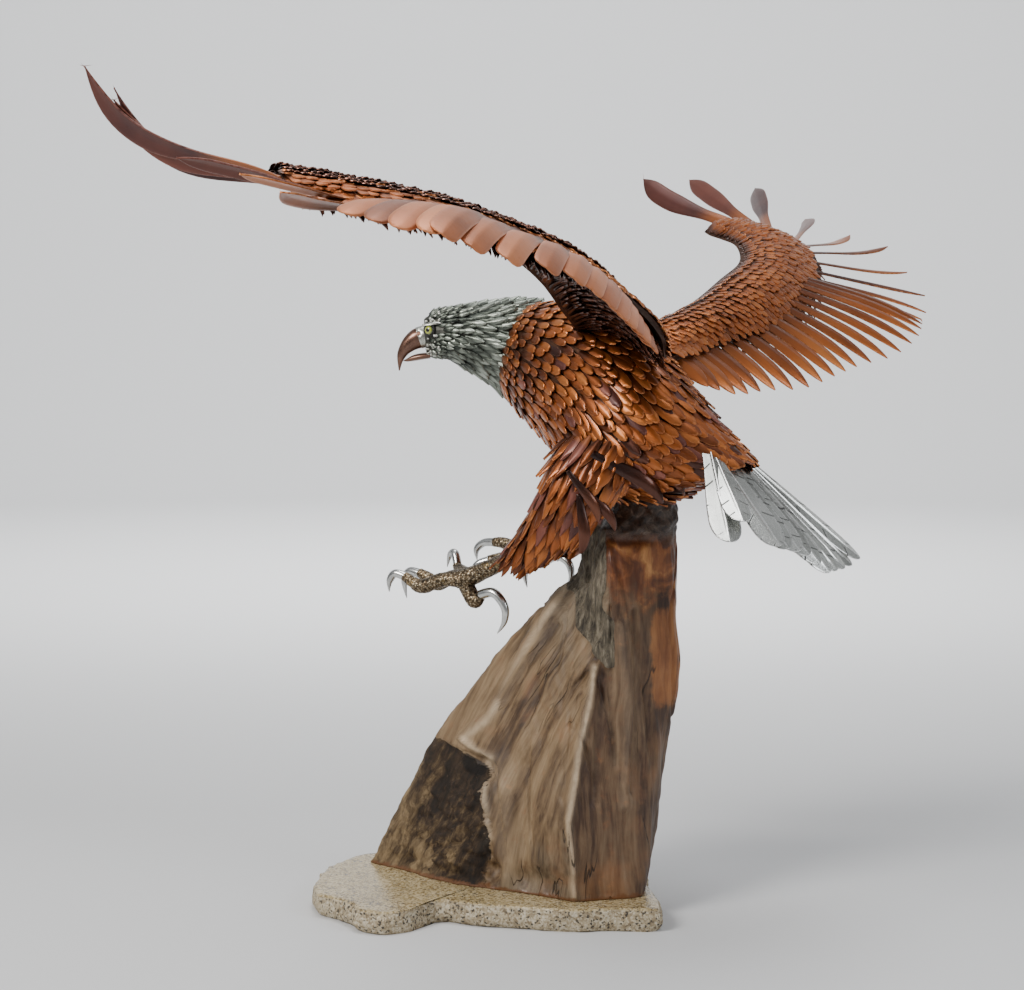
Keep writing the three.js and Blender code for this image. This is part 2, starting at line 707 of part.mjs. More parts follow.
// Slab: broken outline as shares of its length and depth, flat underside, chipped edge.
const slabOutline = [
  [-0.505, -0.17], [-0.503, 0.21], [-0.465, 0.35], [-0.392, 0.50], [-0.23, 0.52], [-0.04, 0.50],
  [0.15, 0.53], [0.32, 0.495], [0.44, 0.34], [0.476, 0.17], [0.469, 0.03], [0.49, -0.24],
  [0.491, -0.44], [0.364, -0.44], [0.225, -0.455], [0.088, -0.405], [-0.05, -0.357],
  [-0.124, -0.309], [-0.171, -0.331], [-0.229, -0.455], [-0.303, -0.497], [-0.358, -0.455],
  [-0.415, -0.309],
];
function slab() {
  const count = 36;
  const corners = slabOutline.map(([x, y]) => new THREE.Vector3(x * slabLength, y * slabDepth, 0));
  const curve = new THREE.CatmullRomCurve3(corners, true, 'centripetal');
  const outline = (j, spread) => {
    const p = curve.getPoint(j / count);
    return p.addScaledVector(p.clone().normalize(), spread);
  };
  const ring = (z, spread, wave) => Array.from({ length: count }, (_, j) => {
    const p = outline(j, spread + wave * Math.sin(j * 2.7));
    p.z = z;
    return p;
  });
  return loft([
    ring(0, -6, 1.5),
    ring(slabThickness * 0.35, 1, 2.5),
    ring(slabThickness * 0.8, 0, 2),
    ring(slabThickness, -5, 1),
  ]);
}

const group = new THREE.Group();
const bird = new THREE.Group();
bird.position.set(stumpLength * 0.465, 0, slabThickness + stumpHeight);
bird.rotation.z = THREE.MathUtils.degToRad(150);

function addMesh(parent, name, solid, look) {
  const mesh = solid.getMesh();
  const geometry = new THREE.BufferGeometry();
  const positions = new Float32Array(mesh.vertProperties);
  geometry.setAttribute('position', new THREE.BufferAttribute(positions, 3));
  geometry.setIndex(new THREE.BufferAttribute(new Uint32Array(mesh.triVerts), 1));
  geometry.computeVertexNormals();
  const made = new THREE.Mesh(geometry, new THREE.MeshStandardMaterial(look));
  made.name = name;
  parent.add(made);
}

addMesh(bird, 'body', trunk, copper);
addMesh(bird, 'head', headSolid, headSteel);
addMesh(bird, 'upper_beak', upperBeak, horn);
addMesh(bird, 'lower_beak', lowerBeak, horn);
addMesh(bird, 'cere', cere, steel);
const thighTools = [];
[['left', 1], ['right', -1]].forEach(([name, side]) => {
  addMesh(bird, `${name}_eye`, eye(side), eyeGlass);
  const armTool = wingTool(side);
  const hand = handFeathers(side, [armTool, ...armFeathers(side, gap)]);
  const arm = cut(join([wingArm(side), ...armFeathers(side, 0)]), trunkTool);
  addMesh(bird, `${name}_wing`, arm, copper);
  hand.forEach((blade, i) => {
    addMesh(bird, `${name}_primary_${i + 1}`, blade, i < 4 ? darkCopper : copper);
  });
  const frame = thighFrame(side);
  addMesh(bird, `${name}_thigh`, cut(shingled(frame, 5, 12, rowLift), trunkTool), copper);
  const thighTool = smooth(frame, 6, 12, rowLift + gap * 3);
  thighTools.push(thighTool);
  const foot = footSolid(name, thighTool);
  addMesh(bird, `${name}_foot`, foot.solid, bronze);
  feet[name].claws.forEach((rows, i) => {
    addMesh(bird, `${name}_claw_${i + 1}`, cut(bar(rows, 5, 5), foot.hull, thighTool), steel);
  });
});
tailFeathers().forEach((blade, i) => {
  addMesh(bird, `tail_feather_${i + 1}`, blade, steel);
});

// The wood is hollowed where the bird sits in it.
const seatTools = [trunkTool, ...thighTools].map((tool) => tool
  .rotate([0, 0, 150])
  .translate([bird.position.x, bird.position.y, bird.position.z]));
addMesh(group, 'driftwood_stump', stump(seatTools), wood);
addMesh(group, 'granite_slab', slab(), granite);
group.add(bird);

export default group;
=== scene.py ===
import math
import random

import bmesh
import bpy
from mathutils import Matrix, Vector, noise


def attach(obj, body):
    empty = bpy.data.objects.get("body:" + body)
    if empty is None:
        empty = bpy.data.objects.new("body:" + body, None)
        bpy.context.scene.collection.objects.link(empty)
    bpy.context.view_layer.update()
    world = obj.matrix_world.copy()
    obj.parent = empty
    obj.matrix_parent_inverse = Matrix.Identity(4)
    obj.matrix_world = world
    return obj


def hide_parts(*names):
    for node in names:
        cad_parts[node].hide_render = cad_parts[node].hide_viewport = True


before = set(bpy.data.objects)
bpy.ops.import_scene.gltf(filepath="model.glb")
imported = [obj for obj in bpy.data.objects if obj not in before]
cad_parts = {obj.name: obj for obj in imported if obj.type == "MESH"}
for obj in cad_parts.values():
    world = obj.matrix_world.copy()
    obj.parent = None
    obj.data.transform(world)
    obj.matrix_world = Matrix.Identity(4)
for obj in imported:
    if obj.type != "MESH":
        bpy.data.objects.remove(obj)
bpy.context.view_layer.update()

scene = bpy.context.scene
mm = 0.001


# camera: the photograph's viewing angle
camera = {"place": (0.037, -3.3, 0.92), "pitchDown": 4.8, "lens": 75.4}
eyePoint = bpy.data.objects.new("camera", bpy.data.cameras.new("camera"))
eyePoint.location = camera["place"]
eyePoint.rotation_euler = (math.radians(90 - camera["pitchDown"]), 0, 0)
eyePoint.data.lens = camera["lens"]
eyePoint.data.sensor_width = 36
scene.collection.objects.link(eyePoint)
scene.camera = eyePoint


# small tools
def mix(a, b, t):
    return a + (b - a) * t


def ease(low, high, value):  # 0 below low, 1 above high, smooth between
    t = min(max((value - low) / (high - low), 0), 1)
    return t * t * (3 - 2 * t)


def reader(rows):  # smooth reading of a table, t from 0 to 1
    last = len(rows) - 1

    def read(t):
        s = min(max(t, 0), 1) * last
        i = min(int(s), last - 1)
        f = s - i
        four = rows[max(i - 1, 0)], rows[i], rows[i + 1], rows[min(i + 2, last)]
        found = []
        for a, b, c, d in zip(*four):
            g = f * f * (3 - 2 * f)
            slope = (c - a) / 2 * f * (1 - f) ** 2 - (d - b) / 2 * f * f * (1 - f)
            found.append(b + (c - b) * g + slope)
        return found

    return read


bird = {"seatX": 0.2, "turn": 150, "headTurn": 30}
sides = {"left": 1, "right": -1}
birdTurn = math.radians(bird["turn"])
forward = Vector((math.cos(birdTurn), math.sin(birdTurn), 0))
leftward = Vector((-math.sin(birdTurn), math.cos(birdTurn), 0))
upward = Vector((0, 0, 1))


def heading(x, y, z):  # a direction in the bird's own forward, left, up
    return forward * x + leftward * y + upward * z


def at(x, y, z):  # a place in the bird's own forward, left, height, millimetres
    return Vector((bird["seatX"], 0, 0)) + heading(x, y, z) * mm


headTurn = math.radians(bird["headTurn"])
headForward = heading(math.cos(headTurn), math.sin(headTurn), 0)
headLeft = heading(-math.sin(headTurn), math.cos(headTurn), 0)


def atHead(f, w, h):
    return at(245, 20, 888 + h) + headForward * f * mm + headLeft * w * mm


# shader sums: a socket that takes part in Python expressions
class Value:
    def __init__(self, wiring, socket):
        self.wiring = wiring
        self.socket = socket


def arithmetic(operation, swapped):
    def worked(self, other):
        pair = (other, self) if swapped else (self, other)
        return self.wiring.sums(operation, *pair)

    return worked


for sign, operation in (("add", "ADD"), ("sub", "SUBTRACT"), ("mul", "MULTIPLY")):
    setattr(Value, f"__{sign}__", arithmetic(operation, False))
    setattr(Value, f"__r{sign}__", arithmetic(operation, True))


class Wiring:  # one material being wired
    def __init__(self, name, **constants):
        self.material = bpy.data.materials.new(name)
        self.material.use_nodes = True
        self.nodes = self.material.node_tree.nodes
        self.links = self.material.node_tree.links
        self.shader = self.nodes["Principled BSDF"]
        for socket, value in constants.items():
            self.shader.inputs[socket.replace("_", " ")].default_value = value

    def node(self, kind, sockets=None, out=0, **settings):
        made = self.nodes.new(kind)
        for key, value in settings.items():
            setattr(made, key, value)
        for key, value in (sockets or {}).items():
            if isinstance(value, Value):
                self.links.new(value.socket, made.inputs[key])
            else:
                made.inputs[key].default_value = value
        return Value(self, made.outputs[out])

    def sums(self, operation, *values):
        return self.node("ShaderNodeMath", dict(enumerate(values)), operation=operation)

    def clamped(self, value):
        return self.node("ShaderNodeClamp", {0: value})

    def step(self, value, low, high):  # 0 below low, 1 above high
        return self.node("ShaderNodeMapRange", {0: value, 1: low, 2: high},
                         interpolation_type="SMOOTHSTEP")

    def ramp(self, value, *stops):  # each stop is its place and its red, green and blue
        ramp = self.node("ShaderNodeValToRGB", {0: value})
        elements = ramp.socket.node.color_ramp.elements
        while len(elements) < len(stops):
            elements.new(1)
        for element, (place, *colour) in zip(elements, stops):
            element.position = place
            element.color = (*colour, 1)
        return ramp

    def paint(self, share, over):  # lays a colour over the one so far
        over = (*over, 1) if isinstance(over, tuple) else over
        self.colour = self.mixed(share, self.colour, over)

    def mixed(self, share, a, b):
        return self.node("ShaderNodeMix", {0: share, 6: a, 7: b}, 2, data_type="RGBA")

    def here(self):
        return self.node("ShaderNodeTexCoord", out="Object")

    def parts(self, vector):
        split = self.node("ShaderNodeSeparateXYZ", {0: vector}).socket.node
        return [Value(self, socket) for socket in split.outputs]

    def joined(self, x, y, z):
        return self.node("ShaderNodeCombineXYZ", {0: x, 1: y, 2: z})

    def attribute(self, name):  # the three numbers that each vertex holds
        return self.parts(self.node("ShaderNodeAttribute", out="Vector", attribute_name=name))

    def noise(self, vector, scale, detail=4.0, roughness=0.5, distortion=0.0):
        return self.node("ShaderNodeTexNoise", {
            "Vector": vector, "Scale": scale, "Detail": detail,
            "Roughness": roughness, "Distortion": distortion})

    def cells(self, vector, scale, out="Distance"):
        return self.node("ShaderNodeTexVoronoi", {"Vector": vector, "Scale": scale}, out)

    def done(self, rough=None, height=None, strength=0, distance=0):
        made = {"Base Color": self.colour}
        if rough:
            made["Roughness"] = self.clamped(rough)
            made["Normal"] = self.node("ShaderNodeBump", {
                "Height": height, "Strength": strength, "Distance": distance})
        for socket, value in made.items():
            self.links.new(value.socket, self.shader.inputs[socket])
        return self.material


# finishes
# deep, middle and light colour; metal; roughness; rims ground bright, with a painted highlight;
# lacquer; dirt and painted shade at the root
featherLooks = {
    "copper": {"deep": (0.085, 0.019, 0.005), "middle": (0.36, 0.095, 0.017),
               "light": (0.60, 0.215, 0.055),
               "metal": 0.75, "rough": 0.36, "rim": 0.55, "coat": 0.3, "rootDirtAndShade": 0.75},
    # copper painted lighter as if lit, for the near wing's upper feathers
    "paintedLitCopper": {"deep": (0.16, 0.045, 0.016), "middle": (0.46, 0.145, 0.048),
                   "light": (0.62, 0.235, 0.09),
                   "metal": 0.45, "rough": 0.45, "rim": 0.3, "coat": 0.0, "rootDirtAndShade": 0.9},
    # darker copper: dark plates on the body, and painted shade on the wings' crest and underside
    "darkAndShadedCopper": {"deep": (0.022, 0.006, 0.004), "middle": (0.085, 0.024, 0.011),
                   "light": (0.24, 0.08, 0.035),
                   "metal": 0.8, "rough": 0.32, "rim": 0.35, "coat": 0.4, "rootDirtAndShade": 0.75},
    "plumCopper": {"deep": (0.05, 0.013, 0.011), "middle": (0.15, 0.042, 0.026),
                   "light": (0.34, 0.11, 0.07), "stem": (0.40, 0.12, 0.028),
                   "metal": 0.35, "rough": 0.38, "rim": 0.3, "coat": 0.15, "rootDirtAndShade": 0.25},
    "headSteel": {"deep": (0.03, 0.035, 0.03), "middle": (0.20, 0.22, 0.185),
                  "light": (0.52, 0.55, 0.48),
                  "metal": 0.95, "rough": 0.30, "rim": 0.6, "coat": 0.0, "rootDirtAndShade": 0.75},
    "tailSteel": {"deep": (0.14, 0.14, 0.125), "middle": (0.56, 0.57, 0.54),
                  "light": (0.93, 0.93, 0.90),
                  "metal": 1.0, "rough": 0.27, "rim": 0.6, "coat": 0.0, "rootDirtAndShade": 0.3},
}


def featherFinish(name, slots=False):
    look = featherLooks[name]
    w = Wiring(name, Metallic=look["metal"], Coat_Weight=look["coat"], Coat_Roughness=0.14)
    across, along, tint = w.attribute("plate")
    edge = w.sums("ABSOLUTE", across)
    place = w.here()
    cloud = w.noise(place, 14.0, 3.0)
    fine = w.noise(place, 160.0, 3.0, 0.6)
    streak = w.noise(w.joined(across * 9 + tint * 37, along * 1.4, tint * 11), 3.0, 3.0, 0.6)
    tone = w.clamped(tint * 0.62 + cloud * 0.5 + along * 0.16 + streak * 0.24 - 0.42)
    w.colour = w.ramp(tone, (0.0, *look["deep"]), (0.45, *look["middle"]), (1.0, *look["light"]))
    # the rims: bright ground edges, lightened further as a painted highlight
    rim = w.sums("MAXIMUM", w.step(edge, 0.86, 0.98), w.step(along, 0.93, 1.0))
    rim = rim * w.step(fine, 0.35, 0.6) * look["rim"]
    w.paint(rim, tuple(min(c * 1.25 + 0.06, 1) for c in look["light"]))
    if "stem" in look:
        w.paint(w.step(along + streak * 0.2, 0.46, 0.30) * 0.8, look["stem"])
    # the root is darkened by dirt and by painted shade where it lies under the plate before it
    rootDirtAndShade = w.step(along, 0.62, 0.2) * look["rootDirtAndShade"] + w.step(fine, 0.62, 0.8) * 0.2
    w.paint(rootDirtAndShade, tuple(c * 0.5 for c in look["deep"]))
    rough = streak * 0.16 + fine * 0.14 + (look["rough"] - 0.15) - rim * 0.1
    height = streak * 0.5 + fine * 0.35
    if slots:  # saw cuts from the rim towards the rib, and the polished rib itself
        cut = w.sums("FRACT", along * 6.3 - edge * 0.55 + tint * 0.9)
        cut = w.step(cut, 0.10, 0.07) * w.step(edge, 0.35, 0.45) * w.step(along, 0.12, 0.16)
        cut = cut * w.step(w.noise(w.joined(along * 3, tint * 9, 0.0), 5.0), 0.42, 0.5)
        w.paint(cut * 0.85, (0.03, 0.03, 0.028))
        w.paint(w.step(edge, 0.16, 0.05) * 0.7, (0.95, 0.95, 0.93))
        height = height - cut * 2 + w.step(w.noise(place, 30.0), 0.4, 0.7) * 0.5
        rough = rough + cut * 0.3
    return w.done(rough, height, 0.35, 0.0007)


def plainMetal(name, colour, dark, metallic, rough, scale=60.0, bump=0.3, coat=0.0):
    w = Wiring(name, Metallic=metallic, Coat_Weight=coat, Coat_Roughness=0.1)
    place = w.here()
    cloud = w.noise(place, scale, 4.0, 0.6)
    fine = w.noise(place, scale * 9, 3.0, 0.6)
    w.colour = w.ramp(cloud * 0.7 + fine * 0.3, (0.3, *dark), (0.62, *colour))
    return w.done(fine * 0.16 + cloud * 0.14 + (rough - 0.15), cloud + fine * 0.5, bump, 0.0008)


def weldFinish():  # beads of bronze rod over steel, bright where they are worn
    w = Wiring("weldBronze", Metallic=0.95)
    place = w.here()
    bead = w.cells(place, 260.0)
    cloud = w.noise(place, 34.0, 4.0, 0.6)
    grit = w.noise(place, 520.0, 3.0, 0.7)
    w.colour = w.ramp(bead * 0.8 + cloud * 0.5,
                      (0.30, 0.50, 0.43, 0.32), (0.46, 0.24, 0.18, 0.11),
                      (0.62, 0.13, 0.092, 0.055), (0.85, 0.04, 0.028, 0.018))
    w.paint(w.step(grit, 0.56, 0.66) * w.step(cloud, 0.4, 0.55) * 0.8, (0.66, 0.60, 0.46))
    w.paint(w.step(cloud, 0.56, 0.68) * 0.45, (0.50, 0.33, 0.12))
    return w.done(bead * 0.3 + grit * 0.2 + 0.14, grit * 0.5 - bead, 0.6, 0.0012)


def eyeFinish():
    w = Wiring("eyeGlass", Roughness=0.06, Coat_Weight=1.0, Coat_Roughness=0.02)
    across, turn = w.attribute("plate")[:2]
    rays = w.noise(w.joined(turn * 30, across * 2, 0.0), 4.0, 3.0)
    w.colour = w.ramp(across * 1.1 + rays * 0.1,
                      (0.30, 0.75, 0.72, 0.10), (0.55, 0.42, 0.46, 0.04),
                      (0.78, 0.16, 0.19, 0.03), (0.9, 0.015, 0.015, 0.01))
    w.paint(w.step(across, 0.36, 0.31), (0.004, 0.004, 0.004))  # the pupil
    return w.done()


def woodFinish():  # masks say where it is rotten, barked, oiled, ridged or worn at the edge
    w = Wiring("driftwoodGrain", Specular_IOR_Level=0.4)
    place = w.here()
    x, y, z = w.parts(place)
    rotMask, barkMask, oilMask = w.attribute("masks")
    right, paleAndShadeMask, edgeMask = w.attribute("forms")
    paleAndShadeMask = paleAndShadeMask * 2 - 1
    ragged = w.noise(place, 55.0, 5.0, 0.65)
    rag = ragged - 0.5
    cloud = w.noise(place, 8.0, 4.0, 0.6, 0.4)
    rightSide = w.step(right + ragged * 0.3, 0.55, 0.75)
    lean = (z * z * 0.7 + z * 0.1) * (1 - rightSide) + z * rightSide * 0.04
    lean = lean + w.noise(place, 6.0, 2.0) * 0.035  # how far the grain leans at this height
    grainSpace = w.joined(x - lean, y, z * 0.10)
    broad = w.noise(grainSpace, 17.0, 4.0, 0.6, 0.3)
    grain = w.noise(grainSpace, 52.0, 6.0, 0.65, 0.4)
    lines = w.noise(grainSpace, 210.0, 4.0, 0.6, 0.2)
    speck = w.noise(place, 380.0, 2.0)
    # weathered tan face, greyer in places
    tone = broad * 0.6 + grain * 0.5 + lines * 0.22 + cloud * 0.3 - 0.31
    tan = w.ramp(tone, (0.30, 0.026, 0.013, 0.007), (0.41, 0.085, 0.048, 0.023),
                 (0.50, 0.185, 0.118, 0.060), (0.60, 0.27, 0.185, 0.103),
                 (0.78, 0.42, 0.32, 0.20))
    grey = w.ramp(tone, (0.32, 0.025, 0.018, 0.012), (0.48, 0.110, 0.084, 0.056),
                  (0.70, 0.27, 0.22, 0.155))
    tan = w.mixed(w.step(w.noise(place, 5.0, 3.0), 0.48, 0.64) * 0.6, tan, grey)
    # the other face: upright, with darker stripes, and painted darker as shade since it turns
    # from the light
    side = w.ramp(tone, (0.32, 0.018, 0.008, 0.005), (0.44, 0.062, 0.031, 0.016),
                  (0.55, 0.145, 0.086, 0.045), (0.72, 0.26, 0.178, 0.105))
    w.colour = w.mixed(rightSide, tan, side)
    w.paint(w.step(cloud, 0.53, 0.68) * 0.4, (0.25, 0.105, 0.04))
    # pale worn ridges, and painted shade in the furrows
    w.paint(w.clamped(paleAndShadeMask * (ragged * 1.3)), (0.60, 0.47, 0.32))
    w.paint(w.clamped(paleAndShadeMask * (ragged * -1.7)), (0.035, 0.017, 0.011))
    # oiled red-brown wood below the knot, with golden flame
    wavy = w.joined(x * 1.6 + cloud * 0.1, y, z * 2 + cloud * 0.25)
    wavy = w.noise(wavy, 11.0, 4.0, 0.55, 0.9)
    red = w.ramp(wavy * 0.7 + lines * 0.12 + cloud * 0.2,
                 (0.34, 0.028, 0.009, 0.006), (0.47, 0.13, 0.040, 0.014),
                 (0.56, 0.30, 0.105, 0.032), (0.68, 0.62, 0.30, 0.10))
    oiled = w.step(oilMask + rag * 1.3 + (broad - 0.5) * 1.2, 0.1, 0.75)
    w.paint(oiled * 0.95, red)
    amber = w.ramp(tone, (0.35, 0.19, 0.062, 0.018), (0.65, 0.47, 0.20, 0.065))
    amberEdge = w.step(edgeMask + rag * 0.9 + (broad - 0.5) * 0.9, 0.3, 0.7)
    w.paint(amberEdge * 0.8, amber)
    # grey bark left on the shoulder
    bark = w.step(barkMask + rag * 0.9, 0.42, 0.56)
    barkGrain = w.noise(w.joined(x, y, z * 0.22), 120.0, 6.0, 0.72, 0.3)
    barkShade = w.ramp(barkGrain, (0.36, 0.022, 0.017, 0.011), (0.50, 0.105, 0.086, 0.058),
                       (0.68, 0.26, 0.222, 0.160))
    w.paint(bark, barkShade)
    # knot at the top
    knot = w.step(z + cloud * 0.05 + ragged * 0.03, 0.600, 0.632) * w.step(x, 0.165, 0.18)
    knotNoise = w.noise(place, 70.0, 6.0, 0.75, 1.2)
    knotShade = w.ramp(knotNoise, (0.36, 0.010, 0.006, 0.005), (0.55, 0.065, 0.040, 0.027),
                       (0.74, 0.20, 0.145, 0.10))
    w.paint(knot, knotShade)
    # rotten hollow at the lower left
    rotten = rotMask + rag * 2.2 + (grain - 0.5) * 1.2 + (cloud - 0.5) * 1.6
    rotten = w.step(rotten, 0.36, 0.54) * w.step(rotMask, 0.02, 0.12)
    crumb = w.noise(w.joined(x - z * 0.45, y, z * 0.4), 62.0, 7.0, 0.72, 0.5)
    crust = w.step(x + z * 0.5 + rag * 0.1, 0.02, -0.07) * 0.16
    rotShade = w.ramp(crumb * 1.1 + cloud * 0.4 + crust - 0.27, (0.38, 0.006, 0.004, 0.003),
                      (0.50, 0.030, 0.017, 0.009), (0.60, 0.090, 0.058, 0.028),
                      (0.76, 0.25, 0.175, 0.092))
    w.paint(rotten * 0.95, rotShade)
    # painted shade: the deep hole is painted near black
    hole = x * x * 900 + x * 32.4 + (z - 0.218) * (z - 0.218) * 1500 + ragged * 0.6
    hole = w.step(hole, 0.72, 0.28) * w.step(rotMask, 0.1, 0.4)
    w.paint(hole * 0.85, (0.006, 0.004, 0.003))
    # fine checks along the grain, and the amber glue at the foot
    crack = w.sums("ABSOLUTE", w.noise(grainSpace, 23.0, 3.0, 0.5, 0.2) - 0.5)
    crack = w.step(crack, 0.010, 0.002) * w.step(w.noise(place, 7.0), 0.50, 0.60)
    crack = crack * (1 - rotten) * (1 - bark)
    w.paint(crack * 0.85, (0.016, 0.009, 0.005))
    glue = w.step(z + rag * 0.02, 0.042, 0.0375)
    w.paint(glue * 0.75, (0.14, 0.05, 0.012))
    rough = grain * 0.22 + 0.46 - oiled * 0.24 - glue * 0.25 + rotten * 0.25 + bark * 0.2
    height = grain * 0.6 + lines * 0.4 + speck * 0.08 - crack * 1.6
    height = height + bark * barkGrain * 1.6 + rotten * crumb * 2.2 + knot * knotNoise * 2
    return w.done(rough, height, 0.6, 0.0022)


def graniteFinish():
    w = Wiring("graniteSpeckle")
    place = w.here()
    z = w.parts(place)[2]
    tone, darkTone = w.parts(w.cells(place, 330.0, "Color"))[:2]
    cloud = w.noise(place, 16.0, 4.0, 0.6)
    w.colour = w.ramp(tone * 0.55 + cloud * 0.6,
                      (0.26, 0.12, 0.08, 0.035), (0.42, 0.29, 0.215, 0.10),
                      (0.62, 0.42, 0.33, 0.175), (0.86, 0.56, 0.46, 0.285))
    dark = w.step(darkTone, 0.84, 0.87) * w.step(w.noise(place, 60.0, 3.0), 0.46, 0.54)
    w.paint(dark * 0.85, (0.055, 0.05, 0.045))
    # the broken edge is paler, rougher and more strongly speckled
    broken = w.step(z + (cloud - 0.5) * 0.006, 0.0338, 0.031)
    chip = w.parts(w.cells(place, 360.0, "Color"))[0]
    soil = w.noise(place, 70.0, 6.0, 0.75)
    edge = w.ramp(chip * 0.34 + soil * 0.8 - 0.04,
                  (0.28, 0.06, 0.045, 0.03), (0.42, 0.25, 0.19, 0.115),
                  (0.56, 0.42, 0.35, 0.235), (0.78, 0.66, 0.60, 0.48))
    w.paint(broken * 0.85, edge)
    w.paint(broken * w.step(chip, 0.14, 0.08) * 0.85, (0.035, 0.032, 0.028))
    height = w.noise(place, 120.0, 4.0) * broken + tone * 0.06
    return w.done(broken * 0.45 + 0.22 + tone * 0.12, height, 0.6, 0.0016)


copper = featherFinish("copper")
paintedLitCopper = featherFinish("paintedLitCopper")
darkAndShadedCopper = featherFinish("darkAndShadedCopper")
plumCopper = featherFinish("plumCopper")
headSteel = featherFinish("headSteel")
tailSteel = featherFinish("tailSteel", slots=True)
weldBronze = weldFinish()
# colour, darker colour, metal, roughness; scale of the clouds, relief, lacquer
underSteel = plainMetal("underSteel", (0.09, 0.04, 0.022), (0.02, 0.011, 0.008), 0.8, 0.55)
underGrey = plainMetal("underGrey", (0.12, 0.12, 0.105), (0.03, 0.03, 0.027), 0.9, 0.5)
clawSteel = plainMetal("clawSteel", (0.66, 0.66, 0.64), (0.34, 0.34, 0.33), 1.0, 0.2, 40, 0.12)
beakSteel = plainMetal("beakSteel", (0.20, 0.10, 0.065), (0.07, 0.034, 0.024), 0.75, 0.30,
                       45, 0.2, 0.4)
cereSteel = plainMetal("cereSteel", (0.66, 0.66, 0.60), (0.22, 0.22, 0.19), 1.0, 0.28, 75, 0.5)
pitch = plainMetal("pitchBlack", (0.012, 0.010, 0.009), (0.004, 0.004, 0.004), 0.2, 0.5)
eyeGlass = eyeFinish()
print("finishes made")


# mesh helpers

# a grid laid out by place(u, t), u and t from 0 to 1
def surface(place, columns, rows, closed=False):
    bm = bmesh.new()
    plate = bm.verts.layers.float_vector.new("plate")
    bmesh.ops.create_grid(bm, x_segments=columns, y_segments=rows, size=0.5)
    for v in bm.verts:
        u, t = v.co.x + 0.5, v.co.y + 0.5
        v[plate] = (u * 2 - 1, t, 0)
        v.co = place(u, t)
    if closed:
        bmesh.ops.remove_doubles(bm, verts=bm.verts, dist=0.00001)
        bmesh.ops.holes_fill(bm, edges=[e for e in bm.edges if e.is_boundary])
    bmesh.ops.recalc_face_normals(bm, faces=bm.faces)
    return bm


def smoothed(bm):
    for f in bm.faces:
        f.smooth = True
    return bm


def markSharp(bm, degrees=38):
    for e in smoothed(bm).edges:
        e.smooth = e.calc_face_angle(0) < math.radians(degrees)


class Piece:  # one named piece of the scene, gathered from several meshes
    def __init__(self, name, node, slot, *materials):
        self.name, self.node, self.slot, self.materials = name, node, slot, materials
        self.bm = bmesh.new()

    def add(self, bm, material=0, tint=0.5):
        plate = bm.verts.layers.float_vector["plate"]
        for v in bm.verts:
            v[plate].z = tint
        for f in bm.faces:
            f.material_index = material
        scratch = bpy.data.meshes.new("scratch")
        bm.to_mesh(scratch)
        bm.free()
        self.bm.from_mesh(scratch)
        bpy.data.meshes.remove(scratch)

    def place(self):
        mesh = bpy.data.meshes.new(self.name)
        self.bm.to_mesh(mesh)
        self.bm.free()
        for material in self.materials:
            mesh.materials.append(material)
        piece = bpy.data.objects.new(self.name, mesh)
        scene.collection.objects.link(piece)
        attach(piece, "root")
        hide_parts(self.node)


def single(name, node, slot, finish, bm, tint=0.5):  # a piece that is one mesh
    piece = Piece(name, node, slot, finish)
    piece.add(bm, 0, tint)
    piece.place()


def tipped(rootShare, shoulder, roundness=2.0, fullness=0.5):  # outline of a plate
    def width(t):
        base = mix(rootShare, 1, ease(0, shoulder, t))
        if t <= shoulder:
            return base
        q = (t - shoulder) / (1 - shoulder)
        return max(base * (1 - q ** roundness) ** fullness, 0.1)
    return width


# small plates: outline; crown, hooked tip and wall per half width or length; columns, rows
plateKinds = {
    "spoon": (tipped(0.62, 0.66, 2.2), 0.20, 0.08, 0.17, 4, 5),
    "leaf": (tipped(0.45, 0.45, 1.5, 0.8), 0.26, 0.25, 0.17, 4, 5),
    "barb": (tipped(0.45, 0.45, 1.5, 0.8), 0.30, 0.25, 0.17, 2, 4),
    "sliver": (tipped(0.6, 0.5, 1.7, 0.7), 0.45, 0.2, 0.3, 4, 5),
    "tile": (tipped(0.8, 0.76), 0.10, 0.0, 0.22, 3, 5),
}


def plateMesh(name, outline, crown, hook, wall, columns, rows):
    bm = bmesh.new()
    plate = bm.verts.layers.float_vector.new("plate")
    bmesh.ops.create_grid(bm, x_segments=columns, y_segments=rows, size=0.5)
    for v in bm.verts:
        u, t = v.co.x * 2, math.sin((v.co.y + 0.5) * math.pi / 2)
        v[plate] = (u, t, 0)
        v.co = (u * outline(t), t, crown * (1 - u * u) - hook * t * t)
    bmesh.ops.solidify(bm, geom=bm.faces[:], thickness=wall)
    bmesh.ops.recalc_face_normals(bm, faces=bm.faces)
    markSharp(bm)
    mesh = bpy.data.meshes.new(name + "Plate")
    bm.to_mesh(mesh)
    bm.free()
    values = [0.0] * (len(mesh.vertices) * 3)
    mesh.attributes["plate"].data.foreach_get("vector", values)
    return mesh, values


plates = {name: plateMesh(name, *shape) for name, shape in plateKinds.items()}


def fixPlate(piece, kind, root, along, normal, half, length, tint, material):
    mesh, values = plates[kind]
    across = along.cross(normal).normalized()
    rise = across.cross(along)
    turned = Matrix((across * half, along * length, rise * half)).transposed().to_4x4()
    turned.translation = root
    copy = mesh.copy()
    copy.transform(turned)
    values[2::3] = [tint] * (len(values) // 3)
    copy.attributes["plate"].data.foreach_set("vector", values)
    copy.polygons.foreach_set("material_index", [material] * len(copy.polygons))
    piece.bm.from_mesh(copy)
    bpy.data.meshes.remove(copy)


# how far plates stray: share of a place across, share of a row, degrees, shares of their size
scatter = {"across": 0.12, "along": 0.2, "tilt": 2.5,
           "half": (0.88, 1.12), "length": (0.9, 1.12)}


